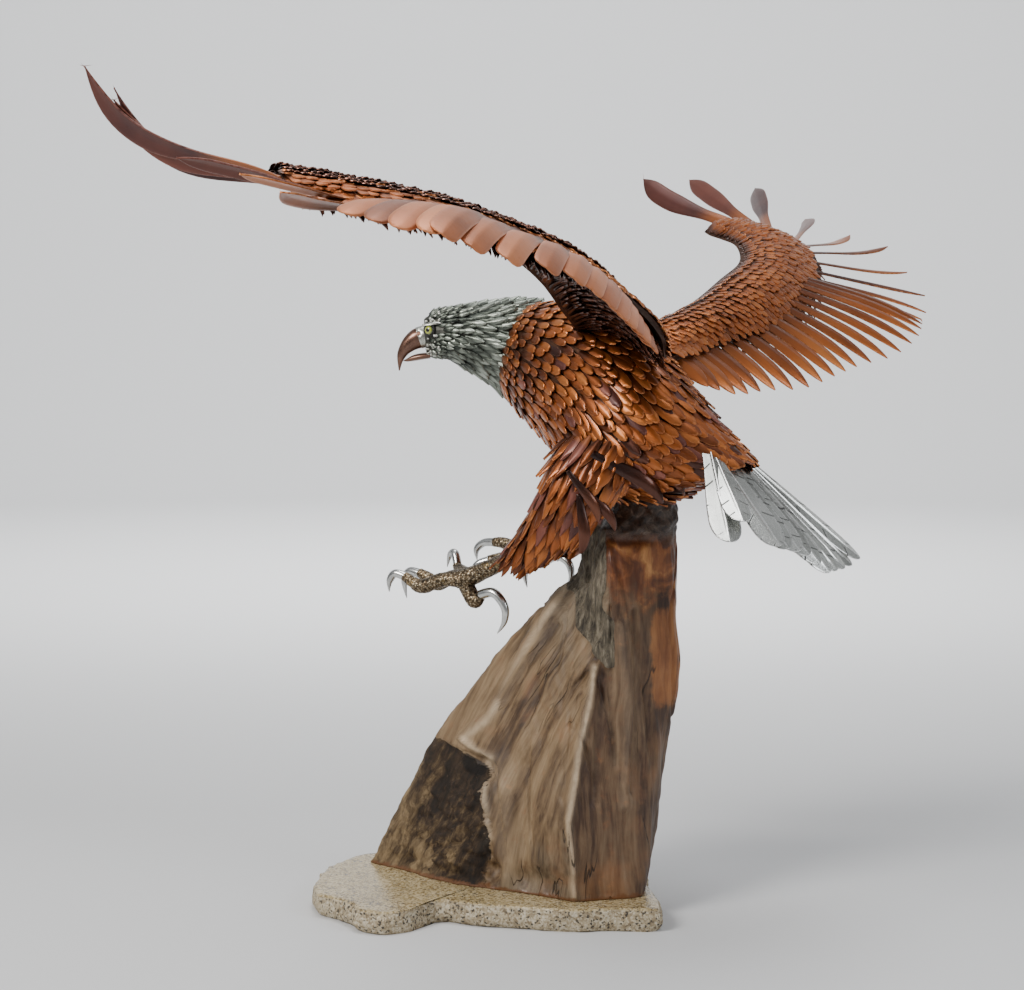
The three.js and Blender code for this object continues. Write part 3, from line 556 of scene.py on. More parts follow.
# one row of plates after another over skin(u, v, height): u runs with the feathers, v across
# them; size(u) gives half width and length in mm; away points out, and a ring needs none
def cover(piece, kind, skin, rows, size, flow, seed, tilt, spacing, sink, across=(0, 1),
          away=None, aim=None, tone=(0, 1), material=0, keep=None, loose=5):
    dice = random.Random(seed)
    near = 0.012  # step along the skin that gives its direction
    steps = 24

    def stray(name):
        return dice.uniform(-scatter[name], scatter[name])

    for i in range(rows):
        t = mix(*flow, (i + 0.5) / rows)
        half = size(t)[0] * mm
        track = [skin(t, mix(*across, k / steps), 0) for k in range(steps + 1)]
        girth = sum((b - a).length for a, b in zip(track, track[1:]))
        count = max(3, round(girth / (half * spacing)))
        for j in range(count):
            v = mix(*across, (j + 0.5 * (i % 2) + stray("across")) / count)
            u = t + stray("along") * (flow[1] - flow[0]) / rows
            root = skin(u, v, sink * mm)
            if keep and not keep(root, u, v):
                continue
            along = skin(u + near, v, 0) - skin(u - near, v, 0)
            side = skin(u, v + near, 0) - skin(u, v - near, 0)
            normal = along.cross(side).normalized()
            if normal.dot(away or skin(u, v, 0) - skin(u, v + 0.5, 0)) < 0:
                normal.negate()
            if aim:
                along = aim(u, v)
                along = along - normal * along.dot(normal)
            swing = math.radians(dice.uniform(-loose, loose))
            along = (Matrix.Rotation(swing, 3, normal) @ along).normalized()
            rise = math.radians(tilt + stray("tilt"))
            leaning = along * math.cos(rise) + normal * math.sin(rise)
            half, length = (share * mm for share in size(u))
            half *= dice.uniform(*scatter["half"])
            shade = material(root, dice) if callable(material) else material
            length *= dice.uniform(*scatter["length"])
            fixPlate(piece, kind, root, leaning, normal, half, length,
                     mix(*tone, dice.random()), shade)


# a long feather: a plate from root to tip, bowed, with a fold or a rib down its middle
def blade(root, tip, up, width, outline, wall, bow=0, sway=0, drop=0, fold=0, crown=0, rib=0,
          twist=0, columns=8, rows=22):
    along = tip - root
    length = along.length
    along.normalize()
    side = along.cross(up).normalized()
    lift = side.cross(along)

    def place(u, t):
        u = u * 2 - 1
        u = math.copysign(abs(u) ** 1.25, u)
        t = mix(t, math.sin(t * math.pi / 2), t)
        arc = 6.75 * t * t * (1 - t)
        turn = Matrix.Rotation(math.radians(twist) * t, 3, along)
        half = width * mm / 2 * outline(t)
        height = crown * half * (1 - u * u) - fold * half * abs(u)
        height += rib * mm * math.exp(-(u * half / (1.6 * mm)) ** 2) * ease(1, 0.8, t)
        middle = root + along * length * t + side * length * sway * arc
        middle += lift * (bow * arc * length - drop * mm)
        return middle + turn @ side * u * half + turn @ lift * height

    bm = surface(place, columns, rows)
    bmesh.ops.solidify(bm, geom=bm.faces[:], thickness=wall * mm)
    bmesh.ops.recalc_face_normals(bm, faces=bm.faces)
    rim = [e for e in bm.edges if e.calc_face_angle(0) > 1.0]
    bmesh.ops.bevel(bm, geom=rim, offset=wall * mm * 0.22, offset_type="OFFSET", segments=1,
                    profile=0.5, affect="EDGES", material=-1)
    markSharp(bm, 50)
    return bm


def ovalRing(top, bottom, across, half, turn, grow):
    angle = turn * 2 * math.pi
    rise = (top - bottom) / 2
    height = rise.length + grow
    return ((top + bottom) / 2 + rise.normalized() * math.cos(angle) * height
            + across * math.sin(angle) * (half + grow))


def tube(stations, turns, rings, lump=None, full=0):  # a round bar: x y z radius
    read = reader(stations)

    def spot(t):
        x, y, z, r = read(t)
        return at(x, y, z)

    def place(u, t):
        t = mix(0.5 - 0.5 * math.cos(t * math.pi), t, 0.6)
        along = (spot(min(t + 0.02, 1)) - spot(max(t - 0.02, 0))).normalized()
        side = Vector((0.2, 0.93, 0.31)).cross(along).normalized()
        lift = along.cross(side)
        angle = u * 2 * math.pi
        out = side * math.cos(angle) + lift * math.sin(angle)
        ends = min(t, 1 - t) / 0.05
        radius = read(t)[3] * mm * (math.sqrt(max(1 - (1 - ends) ** 2, 0)) if ends < 1 else 1)
        radius *= 1 + full * math.sin(math.pi * t)
        middle = spot(t)
        if lump:
            radius *= lump(middle + out * radius)
        return middle + out * radius

    return smoothed(surface(place, turns, rings, closed=True))


# trunk
trunkTable = reader([
    [168, -20, 938, 202, -6, 797, 52], [112, -8, 937, 164, 0, 764, 70],
    [50, 0, 928, 126, 0, 733, 86], [-8, 0, 904, 88, 0, 700, 100],
    [-56, 0, 868, 50, 0, 668, 108], [-96, 0, 827, 4, 0, 648, 104],
    [-129, 0, 790, -50, 0, 643, 92], [-160, 0, 757, -100, 0, 654, 76],
    [-186, 0, 730, -142, 0, 670, 60], [-204, 0, 708, -176, 0, 684, 46]])


def trunkSkin(u, v, height):
    r = trunkTable(u)
    return ovalRing(at(*r[0:3]), at(*r[3:6]), leftward, r[6] * mm, v, height)


trunk = {"rows": 24, "half": 6.6, "length": 46, "bellyHalf": 8.6, "bellyLength": 60,
         "neckHalf": 6.5, "neckLength": 28}
under = -3 * mm  # the bare steel lies this far below the plates
body = Piece("body_plumage", "body", "copper_feathers",
             copper, underSteel, plumCopper, darkAndShadedCopper)
body.add(surface(lambda u, t: trunkSkin(t * 0.93, u, under), 40, 24, closed=True), 1)


def trunkSize(u):
    grow = ease(0.25, 0.7, u) * ease(1.05, 0.85, u)
    half = mix(trunk["neckHalf"], trunk["half"], ease(0, 0.2, u))
    half += (trunk["bellyHalf"] - trunk["half"]) * grow
    length = mix(trunk["neckLength"], trunk["length"], ease(0, 0.3, u))
    length += (trunk["bellyLength"] - trunk["length"]) * grow
    return half, length * mix(1, 0.62, ease(0.84, 0.97, u))


def flankShade(root, dice):  # plum and dark plates gather on the flank and under the belly
    flank = ease(0.95, 0.62, root.z) * ease(-0.02, 0.12, root.x) * 0.3
    draw = dice.random()
    return 2 if draw < flank * 0.55 else 3 if draw < flank else 0


cover(body, "spoon", trunkSkin, trunk["rows"], trunkSize, (-0.02, 0.90), seed=3, tilt=9,
      spacing=1.9, sink=-1.5, material=flankShade, loose=9)
ribbons = [  # long dark plates curled round the knot: from, to, width
    [(0.156, -0.128, 0.716), (0.262, -0.116, 0.640), 24],
    [(0.130, -0.118, 0.672), (0.192, -0.106, 0.598), 17],
    [(0.137, -0.126, 0.655), (0.139, -0.120, 0.566), 16],
    [(0.206, -0.126, 0.716), (0.296, -0.094, 0.650), 17],
    [(0.120, -0.128, 0.690), (0.166, -0.120, 0.612), 16]]
ribbonFace = Vector((0, -1, 0.2))
for i, (start, end, width) in enumerate(ribbons):
    body.add(blade(Vector(start), Vector(end), ribbonFace, width, tipped(0.5, 0.6, 1.8), 2.0,
                   bow=0.09, sway=-0.07, crown=0.35), 3, 0.5 + 0.1 * i)
body.place()
print("trunk covered")

# thighs
thighRows = {
    1: [[30, 760, -90, 738, 62, 48], [56, 716, -68, 690, 80, 47], [74, 668, -34, 644, 90, 40],
        [96, 622, 4, 602, 92, 31], [128, 578, 60, 562, 92, 22], [150, 552, 110, 530, 91, 14]],
    -1: [[30, 760, -90, 738, 62, 48], [60, 716, -68, 690, 80, 47], [86, 668, -30, 642, 88, 41],
         [120, 620, 18, 596, 90, 33], [160, 582, 84, 556, 90, 24],
         [186, 562, 142, 536, 90, 15]]}
thigh = {"rows": 10, "half": 9, "length": 56, "ankleHalf": 6.5, "ankleLength": 34}
for name, side in sides.items():
    read = reader(thighRows[side])

    def thighSkin(u, v, height):
        r = read(u)
        return ovalRing(at(r[0], side * r[4], r[1]), at(r[2], side * r[4], r[3]),
                        leftward, r[5] * mm, v, height)

    def thighSize(u):
        narrow = ease(0.6, 1, u)
        return (mix(thigh["half"], thigh["ankleHalf"], narrow),
                mix(thigh["length"], thigh["ankleLength"], narrow))

    def hang(u, v):  # between the way the leg runs and straight down
        along = thighSkin(u + 0.02, v, 0) - thighSkin(u - 0.02, v, 0)
        return along.normalized() - upward * ease(0.1, 0.6, u) * 0.9

    leg = Piece(name + "_thigh_plumage", name + "_thigh", "copper_feathers",
                copper, underSteel, plumCopper)
    leg.add(surface(lambda u, t: thighSkin(t * 0.97, u, under), 28, 16, closed=True), 1)
    cover(leg, "leaf", thighSkin, thigh["rows"], thighSize, (0.02, 0.97), seed=11 + side,
          tilt=9, spacing=1.7, sink=-1, loose=8, aim=hang,
          material=lambda root, dice: 2 if dice.random() < 0.1 else 0)
    leg.place()
print("thighs covered")

# head
headTable = reader([
    [-81, 52, -49, -91, 53], [-46, 52, -30, -78, 47], [-14, 49, -10, -64, 42],
    [14, 46, 18, -49, 38], [42, 43, 42, -37, 34], [64, 38, 62, -35, 27], [80, 27, 76, -33, 17]])


def headRing(r, turn, grow):
    return ovalRing(atHead(r[0], 0, r[1]), atHead(r[2], 0, r[3]), headLeft, r[4] * mm,
                    turn, grow)


def headSkin(u, v, height):  # u runs from the face back to the neck
    return headRing(headTable(1 - u), v, height)


eyes = {"forward": 69, "aside": 20, "height": 8, "radius": 9.5, "bare": 15, "bareOfBeads": 12.5}
eyePlaces = {name: atHead(eyes["forward"], side * eyes["aside"], eyes["height"])
             for name, side in sides.items()}


def clearOfEyes(root, u, v):
    return all((root - place).length > eyes["bare"] * mm for place in eyePlaces.values())


def headSize(u):
    grow = ease(0.08, 0.7, u)
    return mix(2.8, 6.4, grow), mix(12, 36, grow)


def bead(place, radius):
    bm = bmesh.new()
    bm.verts.layers.float_vector.new("plate")
    bmesh.ops.create_icosphere(bm, subdivisions=2, radius=radius,
                               matrix=Matrix.Translation(place))
    return smoothed(bm)


headBeads = {"count": 70, "radius": (1.6, 2.9)}
head = Piece("head_plumage", "head", "grey_steel_feathers", headSteel, underGrey, cereSteel)
head.add(surface(lambda u, t: headSkin(t, u, -1.5 * mm), 40, 30, closed=True), 1)
cover(head, "sliver", headSkin, 15, headSize, (0.06, 1.0), seed=5, tilt=12, spacing=1.85,
      sink=-0.6, keep=clearOfEyes, loose=9)
dice = random.Random(8)
for name, side in sides.items():  # bright beads of weld behind the eye and at the gape
    for i in range(headBeads["count"]):
        u, v = dice.uniform(0.02, 0.24), 0.25 * side + dice.uniform(-0.17, 0.19)
        place = headSkin(u, v, 0.5 * mm)
        if (place - eyePlaces[name]).length > eyes["bareOfBeads"] * mm:
            head.add(bead(place, dice.uniform(*headBeads["radius"]) * mm), 2)
head.place()
print("head covered")

# beak: outer f h, inner f h, half width
hookRows = {
    "upper": [[74, 16, 70, -17, 15], [88, 13, 78, -19, 14], [100, 8, 90, -22, 12.5],
              [111, -3, 99, -26, 10], [119, -17, 107, -32, 7.5], [123, -33, 114, -42, 4.5],
              [120.5, -56, 118.5, -56, 0.8]],
    "lower": [[70, -27, 70, -37, 13], [84, -28, 84, -39, 11], [97, -31, 97, -41, 8],
              [108, -37, 107, -42, 4], [113, -40, 112.5, -41, 1]]}
nostril = {"forward": 88, "aside": 13.2, "height": 3, "radius": 2.6, "depth": 0.30}


def nostrilDent(p):
    forward, height = nostril["forward"], nostril["height"]
    for side in (1, -1):
        place = atHead(forward, side * nostril["aside"], height)
        off = (p - place).length / (nostril["radius"] * mm)
        p = p + (atHead(forward, 0, height) - place) * nostril["depth"] * math.exp(-off ** 2)
    return p


beakPieces = [  # piece, node, slot, finish, rows, share of them that it covers, growth, dent
    ("upper_beak_horn", "upper_beak", "horn", beakSteel, "upper", 1, 0, Vector),
    ("lower_beak_horn", "lower_beak", "horn", beakSteel, "lower", 1, 0, Vector),
    ("cere_band", "cere", "grey_steel_feathers", cereSteel, "upper", 0.24, 0.9, nostrilDent)]
for name, node, slot, finish, rows, share, grow, dent in beakPieces:
    read = reader(hookRows[rows])
    bm = surface(lambda u, t: dent(headRing(read(share * t), u, grow * mm)), 36, 48,
                 closed=True)
    single(name, node, slot, finish, smoothed(bm))

for name, side in sides.items():
    ball = Piece(name + "_eye_glass", name + "_eye", "eye_glass", eyeGlass, pitch, cereSteel)
    look = (headLeft * side + headForward * 0.55 + upward * 0.05).normalized()
    tall = look.cross(headForward).normalized()
    wide = tall.cross(look)
    middle = eyePlaces[name]

    def ring(turn):
        return wide * math.cos(turn * 2 * math.pi) + tall * math.sin(turn * 2 * math.pi)

    def eyeBall(u, t):
        out = look * math.cos(t * math.pi) + ring(u) * math.sin(t * math.pi)
        return middle + out * eyes["radius"] * mm

    bm = surface(eyeBall, 32, 24, closed=True)
    plate = bm.verts.layers.float_vector["plate"]
    for v in bm.verts:
        v[plate].x = min(v[plate].y * math.pi / 1.1, 1)  # 0 in the pupil, 1 past the iris
    ball.add(smoothed(bm))

    def eyeRim(u, t):  # a welded ring round the eye
        spoke, angle = ring(t), u * 2 * math.pi
        out = spoke * math.cos(angle) + look * math.sin(angle)
        return middle + look * 3.9 * mm + spoke * 9.2 * mm + out * 1.5 * mm

    ball.add(smoothed(surface(eyeRim, 12, 48, closed=True)), 1)
    # the brow: a bright plate from the cere back over the eye
    outward = headLeft * side
    front = middle + headForward * 13 * mm + upward * 8.5 * mm + outward * 3 * mm
    back = middle - headForward * 20 * mm + upward * 11 * mm + outward * 8 * mm
    ball.add(blade(front, back, upward + outward * 0.7, 9, tipped(0.5, 0.4, 1.8), 2.0,
                   bow=0.05, crown=0.4, columns=6, rows=14), 2)
    ball.place()
print("beak and eyes made")

# wings
wingTables = {
    1: reader([
        [45, 30, 884, -100, 40, 850, 34], [22, 140, 925, -148, 150, 890, 32],
        [2, 240, 966, -166, 262, 930, 28], [-8, 345, 1000, -168, 380, 966, 25],
        [-4, 450, 1024, -152, 500, 994, 22], [30, 530, 1042, -128, 590, 1016, 20],
        [85, 580, 1058, -70, 655, 1038, 17], [135, 625, 1074, 0, 700, 1056, 14],
        [178, 672, 1092, 85, 735, 1078, 11]]),
    -1: reader([
        [18, 30, 878, -70, 30, 850, 32], [-4, 110, 906, -72, 160, 868, 30],
        [-6, 250, 940, -96, 325, 890, 27], [-2, 370, 980, -104, 440, 914, 25],
        [6, 465, 1010, -98, 532, 944, 22], [48, 545, 1040, -84, 606, 984, 20],
        [96, 590, 1054, -50, 662, 1028, 17], [128, 612, 1062, 8, 684, 1056, 14],
        [150, 632, 1070, 66, 694, 1076, 11]])}
armTips = {
    1: reader([
        [-245, 906, 1010], [-254, 800, 988], [-260, 660, 972], [-248, 550, 950],
        [-240, 470, 924], [-226, 400, 906], [-200, 310, 888], [-160, 207, 874]]),
    -1: reader([
        [-262, 640, 905], [-272, 590, 882], [-255, 525, 852], [-220, 455, 836],
        [-205, 380, 820], [-182, 310, 802], [-150, 230, 800], [-136, 150, 796],
        [-112, 88, 810]])}
armRoots = {  # share along the wing where each long feather is fixed
    1: reader([[0.56], [0.49], [0.415], [0.34], [0.275], [0.2], [0.145], [0.12], [0.095],
               [0.07]]),
    -1: reader([[0.54], [0.3], [0.06]])}


def onWing(side, s, c, lift=0):  # s along the wing, c from its front edge to the back one
    r = wingTables[side](s)
    return at(mix(r[0], r[3], c), side * mix(r[1], r[4], c), mix(r[2], r[5], c) + lift)


def wingSkin(side, below):
    table = wingTables[side]

    def skin(c, s, height):
        c = min(max(c, -0.03), 1.1)
        s = min(max(s, 0), 1)
        r = table(s)
        front, back = at(r[0], side * r[1], r[2]), at(r[3], side * r[4], r[5])
        a, b = table(min(s + 0.02, 1)), table(max(s - 0.02, 0))
        x, y, z = (a[k] + a[k + 3] - b[k] - b[k + 3] for k in range(3))
        span = heading(x, y * side, z)
        chord = back - front
        up = chord.cross(span).normalized()
        if up.z < 0:
            up.negate()
        inside = min(max(c, 0), 1)
        bend = math.sin(math.pi * inside ** 0.72) * 0.16 * chord.length
        body = r[6] * mm * math.sqrt(max(inside * (1.25 - inside), 0)) * 0.95 / 2
        sign = -1 if below else 1
        return front + chord * c + up * (bend + sign * (body + height))

    return skin


# tip x y z, width, bow, sway, turn, root along the wing and across it
darkHand, stemmedHand = 4, 6  # so many of the first ones are dark, so many have a narrow stem
handRows = {
    1: [[350, 810, 1237, 30, 0, 0.17, 1, 0.985, 0.62],
        [328, 780, 1196, 30, 0, 0.15, 1, 0.94, 0.62],
        [322, 786, 1210, 24, 0, 0.19, 1, 0.895, 0.62],
        [150, 876, 1110, 24, 0, -0.01, 0.8, 0.85, 0.62],
        [50, 883, 1087, 24, 0, 0, 0.6, 0.805, 0.62],
        [-3, 876, 1065, 34, 0, 0.06, 1, 0.76, 0.7],
        [-100, 885, 1037, 34, 0.03, 0, 0.3, 0.715, 0.66],
        [-160, 917, 1026, 36, 0.04, 0, 0.1, 0.67, 0.64],
        [-200, 928, 1017, 38, 0.05, 0, 0, 0.625, 0.62],
        [-230, 917, 1013, 38, 0.05, 0, 0, 0.58, 0.6]],
    -1: [[333, 750, 1178, 38, 0, 0.05, 1, 0.985, 0.62],
         [284, 850, 1180, 34, 0, 0, 1, 0.95, 0.8],
         [181, 930, 1165, 34, 0, 0, 1, 0.93, 0.9],
         [76, 930, 1103, 28, 0, -0.04, 0.8, 0.83, 0.95],
         [-27, 900, 1070, 24, -0.03, 0, 0.4, 0.78, 0.9],
         [-113, 870, 1047, 20, -0.03, 0, 0, 0.73, 0.85],
         [-169, 820, 998, 19, -0.02, 0, 0, 0.68, 0.8],
         [-228, 750, 955, 19, 0, 0, 0, 0.63, 0.75],
         [-248, 700, 925, 19, 0.02, 0, 0, 0.585, 0.7],
         [-254, 660, 913, 20, 0.02, 0, 0, 0.54, 0.7]]}


def paddle(t):  # narrow stem, wide blade, round tip
    return mix(0.56, 1, ease(0.3, 0.66, t)) * (1 - ease(0.72, 1, t) ** 3) ** 0.5 + 0.02


def armAim(side):  # small feathers lie the same way as the long feather nearest to them
    spots = []
    for i in range(21):
        s = armRoots[side](i / 20)[0]
        x, y, z = armTips[side](i / 20)
        spots.append((s, at(x, side * y, z) - onWing(side, s, 0.4)))

    def aim(u, v):
        s, along = min(spots, key=lambda spot: abs(spot[0] - v))
        chord = onWing(side, v, 1) - onWing(side, v, 0)
        return along.normalized().lerp(chord.normalized(), ease(0.5, 0.75, v) * 0.6 + 0.3)

    return aim


def onSkin(skin, c, s, face):  # a feather's face, mostly square to the skin behind its root
    behind = (skin(c + 0.2, s, 0) - skin(c, s, 0)).normalized()
    beside = (skin(c, s + 0.05, 0) - skin(c, s - 0.05, 0)).normalized()
    square = behind.cross(beside)
    if square.z < 0:
        square.negate()
    return square.normalized().lerp(face.normalized(), 0.35)


wings = {  # plates of the upper side, then the long feathers of the arm
    1: {"name": "left", "front": 4.5, "half": 6, "length": 25, "feathers": 13, "depth": 0.60,
        "lift": 1, "face": (-0.2, 0.5, 1), "width": 40, "widthIn": 36, "bow": 0.05,
        "outline": tipped(0.8, 0.9, 5), "handOutline": tipped(0.8, 0.85, 4)},
    -1: {"name": "right", "front": 4.6, "half": 6.2, "length": 33, "feathers": 19,
         "depth": 0.42, "lift": 12, "face": (-0.25, 0.3, 1), "width": 21, "widthIn": 34,
         "bow": 0.035,
         "outline": tipped(0.8, 0.66, 1.8, 0.7), "handOutline": tipped(0.7, 0.7, 1.8, 0.7)}}
for side, look in wings.items():
    name, lift = look["name"], look["lift"]
    near = side > 0  # the wing nearest to the camera, whose feathers stand square to its skin
    upper, lower = wingSkin(side, False), wingSkin(side, True)
    aim = armAim(side)
    arm = Piece(name + "_wing_plumage", name + "_wing", "copper_feathers",
                copper, underSteel, paintedLitCopper, darkAndShadedCopper, plumCopper)

    def shell(u, t):  # u goes round the section, over the top and back beneath
        c = abs(u * 2 - 1)
        return (upper if u >= 0.5 else lower)(c, t, under if c > 0.04 else 0)

    arm.add(surface(shell, 24, 40, closed=True), 1)

    def size(u):
        return (mix(look["front"], look["half"], ease(0, 0.4, u)),
                mix(20, look["length"], ease(0, 0.5, u)))

    if near:  # a crest painted dark as shade, tiles painted pale as lit towards the hand, and copper tiles over the blades
        cover(arm, "spoon", upper, 7, size, (-0.02, 0.56), seed=22, tilt=13, spacing=1.8,
              sink=1, across=(0.02, 0.99), away=upward, aim=aim, material=3)
        cover(arm, "tile", upper, 2, lambda u: (8, 30), (0.56, 0.74), seed=23, tilt=8,
              spacing=1.9, sink=1, across=(0.6, 0.99), away=upward, aim=aim, material=2)
        cover(arm, "tile", upper, 6, lambda u: (9, 34), (0.3, 0.95), seed=24, tilt=4,
              spacing=1.8, sink=-2, across=(0.02, 0.99), away=upward, aim=aim)
    else:
        cover(arm, "tile", upper, 10, size, (0.0, 0.80), seed=20, tilt=4, spacing=1.95, sink=0,
              across=(0.03, 0.99), away=upward, aim=aim, tone=(0.3, 0.9), loose=2)
    # the plates beneath the wing take the darker copper as painted shade
    cover(arm, "barb", lower, 13, lambda u: (5, 44), (-0.01, 0.92), seed=31 + side,
          tilt=17, spacing=1.9, sink=-1, across=(0.02, 0.99), away=-upward, aim=aim,
          material=3, loose=16)

    # long feathers of the arm
    for i in range(look["feathers"]):
        t = i / (look["feathers"] - 1)
        s, c = armRoots[side](t)[0], look["depth"]
        root, face = onWing(side, s, c, lift), heading(*look["face"])
        if near:
            c = mix(c, 0.46, ease(0.45, 0.8, t))  # nearer to the crest towards the body
            root, face = upper(c, s, lift * mm), onSkin(upper, c, s, face)
        x, y, z = armTips[side](t)
        # the near wing's long feathers take the copper painted as lit
        arm.add(blade(root, at(x, side * y, z), face, mix(look["width"], look["widthIn"], t),
                      look["outline"], 1.8, bow=look["bow"], fold=0.2, crown=0.05,
                      twist=-17 * side),
                2 if near else 0, 0.3 + 0.6 * ((i * 0.37) % 1))
    arm.place()

    for i, (x, y, z, width, bow, sway, turn, s, c) in enumerate(handRows[side]):
        root = onWing(side, s, c, 4)
        up = heading(mix(-0.1, 0.1, turn), -side * mix(0.35, 0.85, turn), mix(1, 0.5, turn))
        broad = near and i >= stemmedHand
        if broad:
            root, up = upper(c, s, 0), onSkin(upper, c, s, up)
        dark = i < darkHand
        node = f"{name}_primary_{i + 1}"
        # the broad feathers of the near hand take the copper painted as lit
        slot, finish = ("dark_feathers", plumCopper) if dark else (
            "copper_feathers", paintedLitCopper if broad else copper)
        outline = paddle if i < stemmedHand else look["handOutline"]
        bm = blade(root, at(x, side * y, z), up, width, outline, 2.4, bow=bow, sway=sway * side,
                   fold=0.1, crown=0.12, rows=30)
        single(node + "_blade", node, slot, finish, bm, (i * 0.41 + 0.2) % 1)
print("wings covered")

# tail
tailRows = [  # tip x y z and width, from the left outer feather to the right one
    [-263, 170, 592, 48], [-270, 138, 620, 42], [-301, 76, 584, 46], [-304, 49, 579, 46],
    [-311, 21, 575, 46], [-316, -6, 568, 46], [-324, -34, 554, 46], [-331, -61, 540, 46],
    [-334, -89, 542, 46], [-337, -117, 544, 46], [-340, -144, 548, 44], [-344, -172, 558, 42]]
for i, (x, y, z, width) in enumerate(tailRows):
    across = i / (len(tailRows) - 1)
    root = at(-174, mix(46, -46, across), mix(712, 738, across))
    node = f"tail_feather_{i + 1}"
    face = heading(-0.72, mix(0.75, 0.1, across), 0.68)
    bm = blade(root, at(x, y, z), face, width, tipped(0.55, 0.78, 2.2), 1.8,
               drop=i * 2.6 - 12, fold=0.16, rib=2.2, columns=14, rows=30)
    tint = 0.35 + 0.6 * ((i * 0.39 + 0.1) % 1)
    single(node + "_blade", node, "tail_steel", tailSteel, bm, tint)
print("tail made")

# feet and claws
feet = {
    "left": {
        "bars": [
            [[112, 90, 566, 12], [150, 90, 541, 12], [190, 90, 522, 13], [220, 90, 510, 15],
             [236, 90, 507, 13]],
            [[218, 94, 509, 13], [256, 100, 506, 11], [290, 104, 494, 11], [308, 106, 500, 9],
             [324, 108, 510, 7]],
            [[218, 84, 509, 13], [252, 78, 508, 11], [280, 76, 496, 11], [300, 74, 504, 9],
             [318, 74, 512, 7]],
            [[216, 84, 512, 11], [240, 60, 514, 10], [262, 42, 518, 8], [268, 38, 524, 7]],
            [[222, 90, 506, 13], [214, 90, 490, 12], [203, 90, 476, 12], [194, 90, 484, 9]]],
        "claws": [
            [[318, 107, 507, 7], [338, 110, 512, 5.5], [348, 111, 500, 4.5],
             [349, 111, 482, 0.6]],
            [[312, 74, 509, 7], [334, 74, 512, 5.5], [344, 74, 496, 4.5], [340, 74, 468, 0.6]],
            [[266, 38, 520, 6.5], [276, 31, 540, 5.5], [288, 26, 536, 4], [294, 25, 516, 0.6]],
            [[196, 90, 484, 8], [170, 90, 490, 6.5], [150, 90, 470, 5.5], [150, 90, 446, 4],
             [163, 90, 426, 0.6]]]},
    "right": {
        "bars": [
            [[150, -90, 560, 12], [182, -90, 545, 12], [210, -90, 532, 14],
             [224, -90, 530, 13]],
            [[212, -94, 531, 12], [240, -96, 540, 10], [262, -97, 546, 9], [280, -97, 546, 7]],
            [[208, -100, 530, 12], [222, -116, 522, 9], [230, -124, 512, 7]],
            [[214, -84, 528, 11], [244, -66, 524, 10], [266, -56, 520, 8]],
            [[204, -88, 530, 12], [184, -86, 520, 10], [170, -84, 524, 8]]],
        "claws": [
            [[276, -97, 546, 7], [298, -97, 544, 5.5], [312, -97, 532, 4.5],
             [311, -97, 514, 0.6]],
            [[229, -123, 513, 7], [236, -127, 500, 5], [237, -128, 486, 3.5],
             [233, -128, 470, 0.6]],
            [[263, -57, 521, 7], [282, -50, 514, 5], [288, -48, 500, 4], [282, -48, 486, 0.6]],
            [[172, -84, 524, 8], [150, -82, 532, 6.5], [130, -81, 522, 5.5], [124, -80, 502, 4],
             [132, -80, 482, 0.6]]]}}


def weldLumps(p):
    beads = noise.voronoi(p * 230, distance_metric="DISTANCE")[0][0]
    return 1.03 + 0.10 * (0.6 - beads) + 0.05 * noise.noise(p * 90)


for name, foot in feet.items():
    welded = Piece(name + "_foot_weld", name + "_foot", "bronze_weld", weldBronze)
    for rows in foot["bars"]:
        welded.add(tube(rows, 40, 70, weldLumps))
    welded.place()
    for i, rows in enumerate(foot["claws"]):
        node = f"{name}_claw_{i + 1}"
        single(node + "_steel", node, "polished_claw", clawSteel, tube(rows, 20, 44, full=0.22))
print("feet made")

# driftwood
stump = {"height": 620, "length": 430, "depth": 268, "slab": 35, "around": 300, "levels": 225}
# x y at the foot and at the top, share that follows the left side, share that follows the ridge
woodEdges = [
    [-0.45, 0.89, 0.442, 0.47, 1, 0], [-0.33, 0.70, 0.446, 0.41, 1, 0],
    [-0.14, 0.384, 0.456, 0.36, 1, 0], [0.114, 0.186, 0.475, 0.325, 0.5, 0.5],
    [0.24, 0.06, 0.50, 0.30, 0.1, 0.9], [0.307, 0.0, 0.52, 0.29, 0, 1],
    [0.40, 0.03, 0.555, 0.295, 0, 1], [0.54, 0.104, 0.62, 0.32, 0, 0.2],
    [0.56, 0.36, 0.66, 0.40, 0, 0], [0.535, 0.63, 0.66, 0.48, 0, 0],
    [0.35, 0.89, 0.62, 0.55, 0.4, 0], [0.047, 1.0, 0.56, 0.585, 1, 0],
    [-0.23, 1.02, 0.51, 0.58, 1, 0], [-0.395, 0.97, 0.455, 0.53, 1, 0]]
woodRise = reader([  # how far the left side, the front ridge and the rest have moved to the top
    [0, 0, 0], [0.085, -0.066, 0.38], [0.175, -0.098, 0.63], [0.27, 0.027, 0.76],
    [0.395, 0.169, 1.05], [0.53, 0.33, 1.25], [0.68, 0.55, 1.12], [0.865, 0.58, 1.18],
    [0.92, 0.70, 1.12], [1, 1, 1]])


def smoothLoop(points, t):  # a closed curve through points
    s = (t % 1) * len(points)
    i = int(s)
    f = s - i
    a, b, c, d = (points[(i + k) % len(points)] for k in (-1, 0, 1, 2))
    ab, bc, cd = (max((q - p).length, 1e-6) ** 0.5 for p, q in ((a, b), (b, c), (c, d)))
    m = ((b - a) / ab - (c - a) / (ab + bc) + (c - b) / bc) * bc
    n = ((c - b) / bc - (d - b) / (bc + cd) + (d - c) / cd) * bc
    g = f * f * (3 - 2 * f)
    return b + (c - b) * g + m * f * (1 - f) ** 2 - n * f * f * (1 - f)


loops = {}


